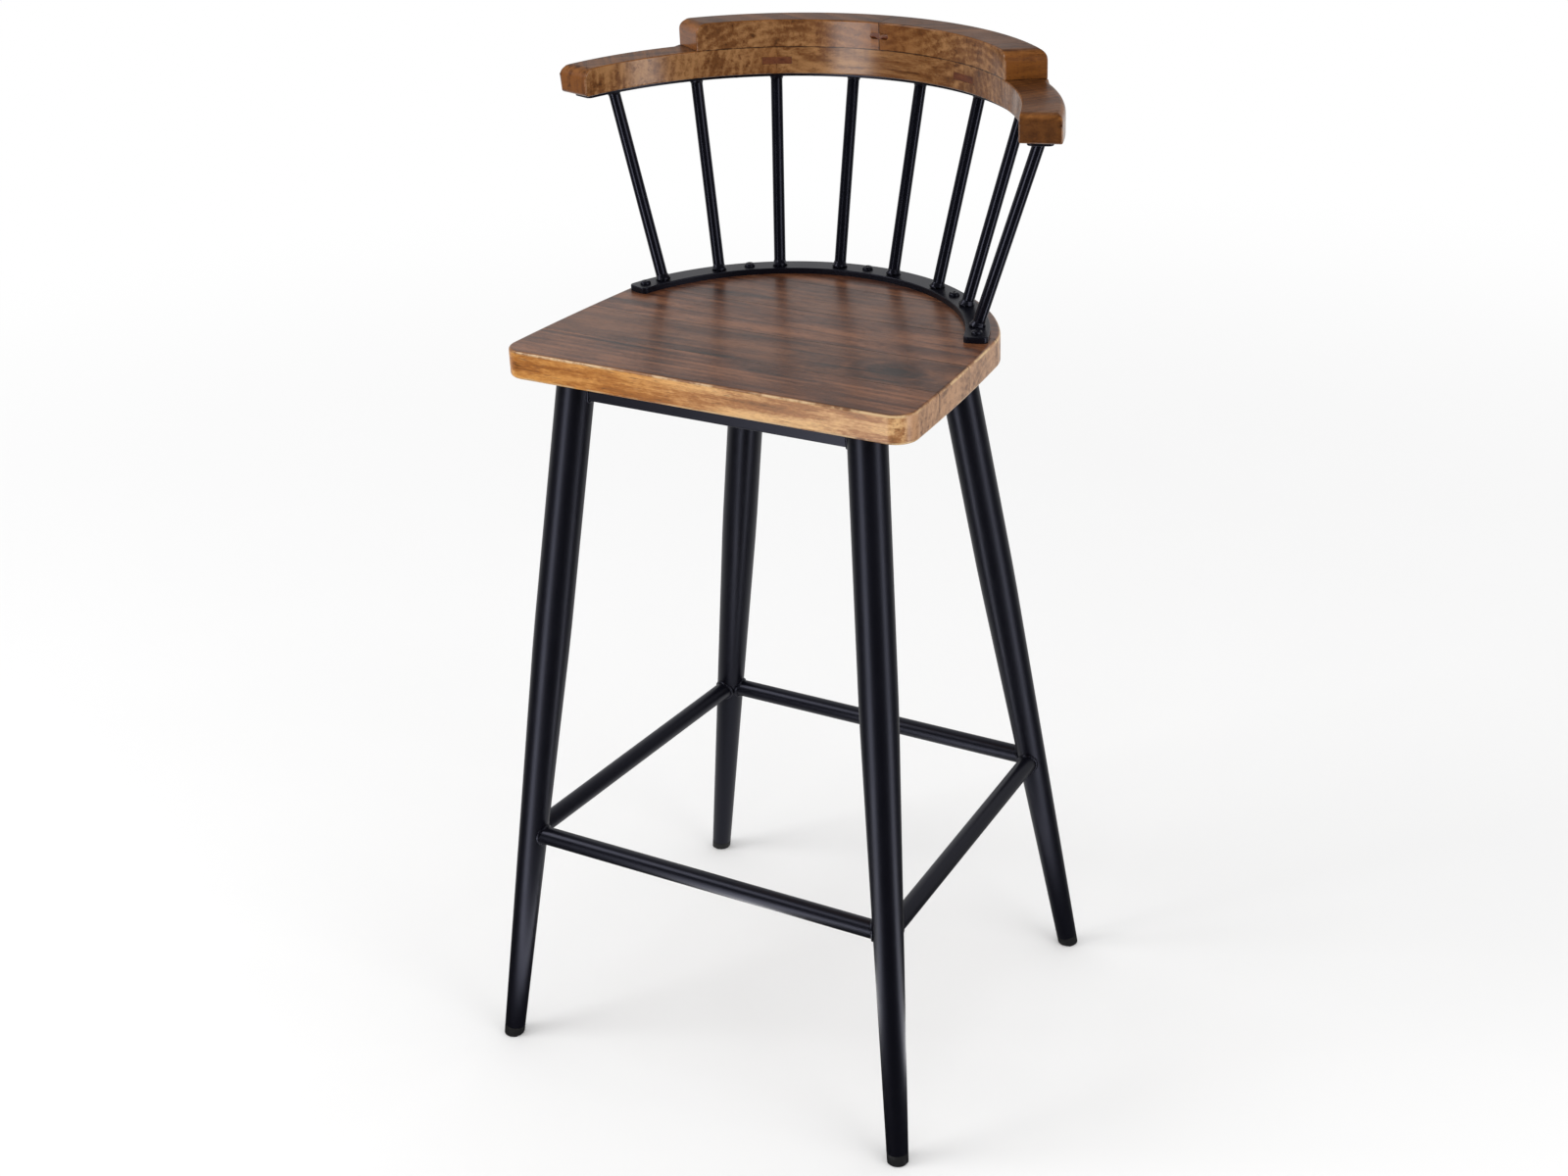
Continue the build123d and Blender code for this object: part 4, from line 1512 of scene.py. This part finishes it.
class STOOL_OT_bands(Operator):
    """Model the two curved bands, the spindles and their welds"""

    bl_idname = "stool.bands"
    bl_label = "Bands and spindles"

    def execute(self, context):
        sizes = context.scene.stool_back
        steel = powder_coat("band_black", context.scene.stool_colours.metal)
        gloss = powder_coat("spindle_black", context.scene.stool_colours.metal, 0.20, 0.006)
        weld = powder_coat("collar_black", context.scene.stool_colours.metal, 0.27, 0.12)
        lower = band(
            "low_band", sizes.band_centre, sizes.lower_inner, sizes.lower_outer,
            context.scene.stool_seat.top, sizes.lower_top, sizes.lower_half, True,
        )
        fitted(lower, "lower_band", steel)
        upper = band(
            "high_band", sizes.rail_centre, sizes.upper_inner, sizes.upper_outer,
            sizes.upper_bottom, sizes.rail_bottom, sizes.upper_half, False,
        )
        fitted(upper, "upper_band", steel)
        for number in range(1, 9):
            fitted(spindle(number), f"spindle_{number}", gloss)
        for at_foot, node in ((True, "spindle_base_welds"), (False, "spindle_top_welds")):
            group = joined(
                "foot_collars" if at_foot else "head_collars",
                [collar(number, at_foot) for number in range(1, 9)],
            )
            lumpy(group, 1.0 * MM, 5 * MM, 2)
            fitted(group, node, weld, 2 * MM)
        return {"FINISHED"}


class STOOL_OT_rail(Operator):
    """Model the wooden back rail: two arms, a middle, a crest in two halves and the keys"""

    bl_idname = "stool.rail"
    bl_label = "Back rail"

    def execute(self, context):
        sizes = context.scene.stool_back
        colours = context.scene.stool_colours
        tones = tones_of("top_dark", "top_mid", "top_light")
        # The rail's upright faces get lighter tones than its top: painted light.
        sides_painted_lighter = (tones_of("rail_mid", "rail_light"),) * 2
        end_tones = tones_of("rail_dark", "rail_deep")
        arm_middle = (sizes.rail_bottom + sizes.arm_top) / 2
        crest_middle = (sizes.arm_top + sizes.crest_top) / 2
        keys, pockets = [], []
        for turn, height, size, end_round in (
            (-ARM_KEY_TURN, arm_middle, ARM_KEY_SIZE, 0),
            (ARM_KEY_TURN, arm_middle, ARM_KEY_SIZE, 0),
            (0.0, crest_middle, CREST_KEY_SIZE, CREST_KEY_ROUND),
        ):
            keys.append(key_blank("key", turn, height, *size, 0, end_round))
            pockets.append(key_blank("pocket", turn, height, *size, POCKET_GAP, end_round))

        right_arm, right_crest = arm(), crest()
        arm_end = on_arc(0, 1, sizes.arm_half + pi / 2)
        crest_end = crest_plane()[1]
        pieces = {
            "arm_left": (
                mirror_of(right_arm, "left_arm"), 52, (0.9, 0.02, 0.0), 0.80, arm_end, 1.6
            ),
            "arm_right": (right_arm, -52, (0.3, -0.03, 0.01), 0.30, arm_end, 0.9),
            "rail_centre": (rail_middle(), 0, (1.6, 0.05, 0.02), 0.30, None, 1.0),
            "crest_left": (
                mirror_of(right_crest, "left_crest"), 23, (2.2, 0.01, 0.03), 0.30, crest_end, 1.9
            ),
            "crest_right": (right_crest, -23, (2.9, 0.04, 0.015), 0.20, crest_end, 1.5),
        }
        for node, (piece, turn, shift, ripple, end, share) in pieces.items():
            seams = [("Z", sizes.arm_top)] + ([("X", 0.0)] if node.startswith("crest") else [])
            towards = Vector((-1, 1, 1)) if node.endswith("left") else Vector((1, 1, 1))
            for pocket in pockets:
                low = min(corner[0] for corner in pocket.bound_box)
                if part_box(node)[0].x - 30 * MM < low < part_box(node)[1].x + 30 * MM:
                    carve(piece, pocket)
            smooth(piece)
            figure = wood(
                f"{node}_wood", radians(turn), shift, tones, sides_painted_lighter, tuple(colours.rounding),
                ends=(tuple(end * towards),) if end else (),
                end_tones=[scaled(tone, share) for tone in end_tones], ripple=ripple,
                joints=seams, pith=(0.15, 0.93), mottle=0.55, gloss=0.12, coat=(0.85, 0.0),
            )
            fitted(piece, node, figure)
        remove(*pockets)
        group = joined("keys", keys)
        smooth(group)
        # The keys' upright faces get lighter tones than the tops: painted light.
        key_tones = (tones_of("key_mid", "key_light"),) * 2
        fitted(
            group, "rail_keys",
            wood("key_wood", 0, (0.1, 0.2, 0.3), tones, key_tones, tuple(colours.rounding)),
        )
        return {"FINISHED"}


class STOOL_OT_screws(Operator):
    """Model the screws on both bands and under the seat"""

    bl_idname = "stool.screws"
    bl_label = "Screws"

    def execute(self, context):
        sizes = context.scene.stool_screws
        back = context.scene.stool_back
        steel = powder_coat("screw_black", context.scene.stool_colours.metal, 0.30, 0.03)
        lower_radius = (back.lower_inner + back.lower_outer) / 2
        upper_radius = (back.upper_inner + back.upper_outer) / 2
        lower = [
            on_arc(back.band_centre, lower_radius, radians(turn), back.lower_top)
            for turn in LOWER_SCREW_TURNS
        ]
        upper = [
            on_arc(back.rail_centre, upper_radius, radians(turn), back.upper_bottom)
            for turn in UPPER_SCREW_TURNS
        ]
        legs = context.scene.stool_legs
        height = legs.seat_underside - legs.rail_depth / 2
        front_y = leg_axis("front", "right", height).y + legs.rail_width / 2 + TAB_HOLE_INSET
        rear_y = leg_axis("rear", "right", height).y - legs.rail_width / 2 - TAB_HOLE_INSET
        side_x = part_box("mounting_tabs")[1].x - TAB_HOLE_INSET
        under = [
            Vector((sign * x, y, tabs_low.z))
            for sign in (-1, 1)
            for x, y in ((FRONT_TAB_X, front_y), (REAR_TAB_X, rear_y), (side_x, 0.0))
        ]
        band_screw = (sizes.lower_head, sizes.lower_height, 5 * MM, 28 * MM)
        rail_screw = (sizes.upper_head, sizes.upper_height, 4 * MM, 20 * MM)
        seat_screw = (sizes.seat_head, sizes.seat_height, 4.5 * MM, 21 * MM)
        for name, node, spots, down, screw in (
            ("band_screws", "lower_band_screws", lower, False, band_screw),
            ("rail_screws", "upper_band_screws", upper, True, rail_screw),
            ("under_screws", "seat_screws", under, True, seat_screw),
        ):
            fitted(screw_row(name, cross_screw(*screw), spots, down), node, steel)
        return {"FINISHED"}


class STOOL_OT_stage(Operator):
    """Set up the floor, the lights and the camera"""

    bl_idname = "stool.stage"
    bl_label = "Stage"

    def execute(self, context):
        stage = context.scene.stool_stage
        colours = context.scene.stool_colours
        nothing_selected()
        bpy.ops.mesh.primitive_plane_add(size=1)
        floor = added("floor", (40, 40, 1))
        floor.data.materials.append(floor_paper(colours.floor, stage))

        world = bpy.data.worlds.new("studio")
        world.use_nodes = True
        sky = world.node_tree.nodes["Background"]
        sky.inputs["Color"].default_value = (*colours.sky, 1)
        room = Finish("studio", world.node_tree)
        outward = room.node("ShaderNodeTexCoord", output="Generated")
        glossy = room.node("ShaderNodeLightPath", output="Is Glossy Ray")
        strength = glossy * softboxes(room, outward, stage) + (1.0 - glossy) * stage.sky_power
        room.tree.links.new(strength.socket, sky.inputs["Strength"])
        context.scene.world = world

        aim = Vector((0, 0, 0.6))
        for name, spot, size, watts in (
            ("key", Vector((-1.9, -1.5, 2.6)), 1.4, stage.key_power),
            ("fill", Vector((2.2, -0.4, 1.9)), 1.6, stage.fill_power),
        ):
            facing = (aim - spot).to_track_quat("-Z", "Y").to_euler()
            bpy.ops.object.light_add(type="AREA", location=spot, rotation=facing)
            light = bpy.context.object
            light.name = name
            light.data.size = size
            light.data.energy = watts

        forward = Vector((
            -sin(stage.yaw) * cos(stage.pitch), cos(stage.yaw) * cos(stage.pitch), -sin(stage.pitch)
        ))
        sideways = Vector((cos(stage.yaw), sin(stage.yaw), 0))
        above = sideways.cross(forward)
        right = sideways * cos(stage.roll) + above * sin(stage.roll)
        top = above * cos(stage.roll) - sideways * sin(stage.roll)
        bpy.ops.object.camera_add()
        camera = bpy.context.object
        camera.name = "stool_camera"
        camera.data.lens = stage.lens
        camera.data.sensor_width = 36
        camera.matrix_world = (
            Matrix.Translation(Vector(stage.camera))
            @ Matrix((right, top, -forward)).transposed().to_4x4()
        )
        context.scene.camera = camera
        context.scene.view_settings.view_transform = "Standard"
        return {"FINISHED"}


class STOOL_PT_builder(Panel):
    """The stool's sizes, colours and steps"""

    bl_label = "Stool"
    bl_idname = "STOOL_PT_builder"
    bl_space_type = "VIEW_3D"
    bl_region_type = "UI"
    bl_category = "Stool"

    def draw(self, context):
        layout = self.layout
        for step in STEPS:
            layout.operator(step.bl_idname, text=step.bl_label)
        for heading, name, group in SETTINGS:
            box = layout.box()
            box.label(text=heading)
            for setting in group.__annotations__:
                box.prop(getattr(context.scene, name), setting)


STEPS = (
    STOOL_OT_legs,
    STOOL_OT_frame,
    STOOL_OT_seat,
    STOOL_OT_bands,
    STOOL_OT_rail,
    STOOL_OT_screws,
    STOOL_OT_stage,
)
SETTINGS = (
    ("Legs and footrest", "stool_legs", StoolLegSizes),
    ("Seat", "stool_seat", StoolSeatSizes),
    ("Back", "stool_back", StoolBackSizes),
    ("Screws", "stool_screws", StoolScrewSizes),
    ("Colours", "stool_colours", StoolColours),
    ("Stage", "stool_stage", StoolStage),
)


def register():
    for _, name, group in SETTINGS:
        bpy.utils.register_class(group)
        setattr(bpy.types.Scene, name, PointerProperty(type=group))
    for kind in (*STEPS, STOOL_PT_builder):
        bpy.utils.register_class(kind)


def unregister():
    for kind in (STOOL_PT_builder, *reversed(STEPS)):
        bpy.utils.unregister_class(kind)
    for _, name, group in reversed(SETTINGS):
        delattr(bpy.types.Scene, name)
        bpy.utils.unregister_class(group)


def main():
    register()
    bpy.ops.stool.legs()
    bpy.ops.stool.frame()
    bpy.ops.stool.seat()
    bpy.ops.stool.bands()
    bpy.ops.stool.rail()
    bpy.ops.stool.screws()
    bpy.ops.stool.stage()
    nothing_selected()


if __name__ == "__main__":
    main()
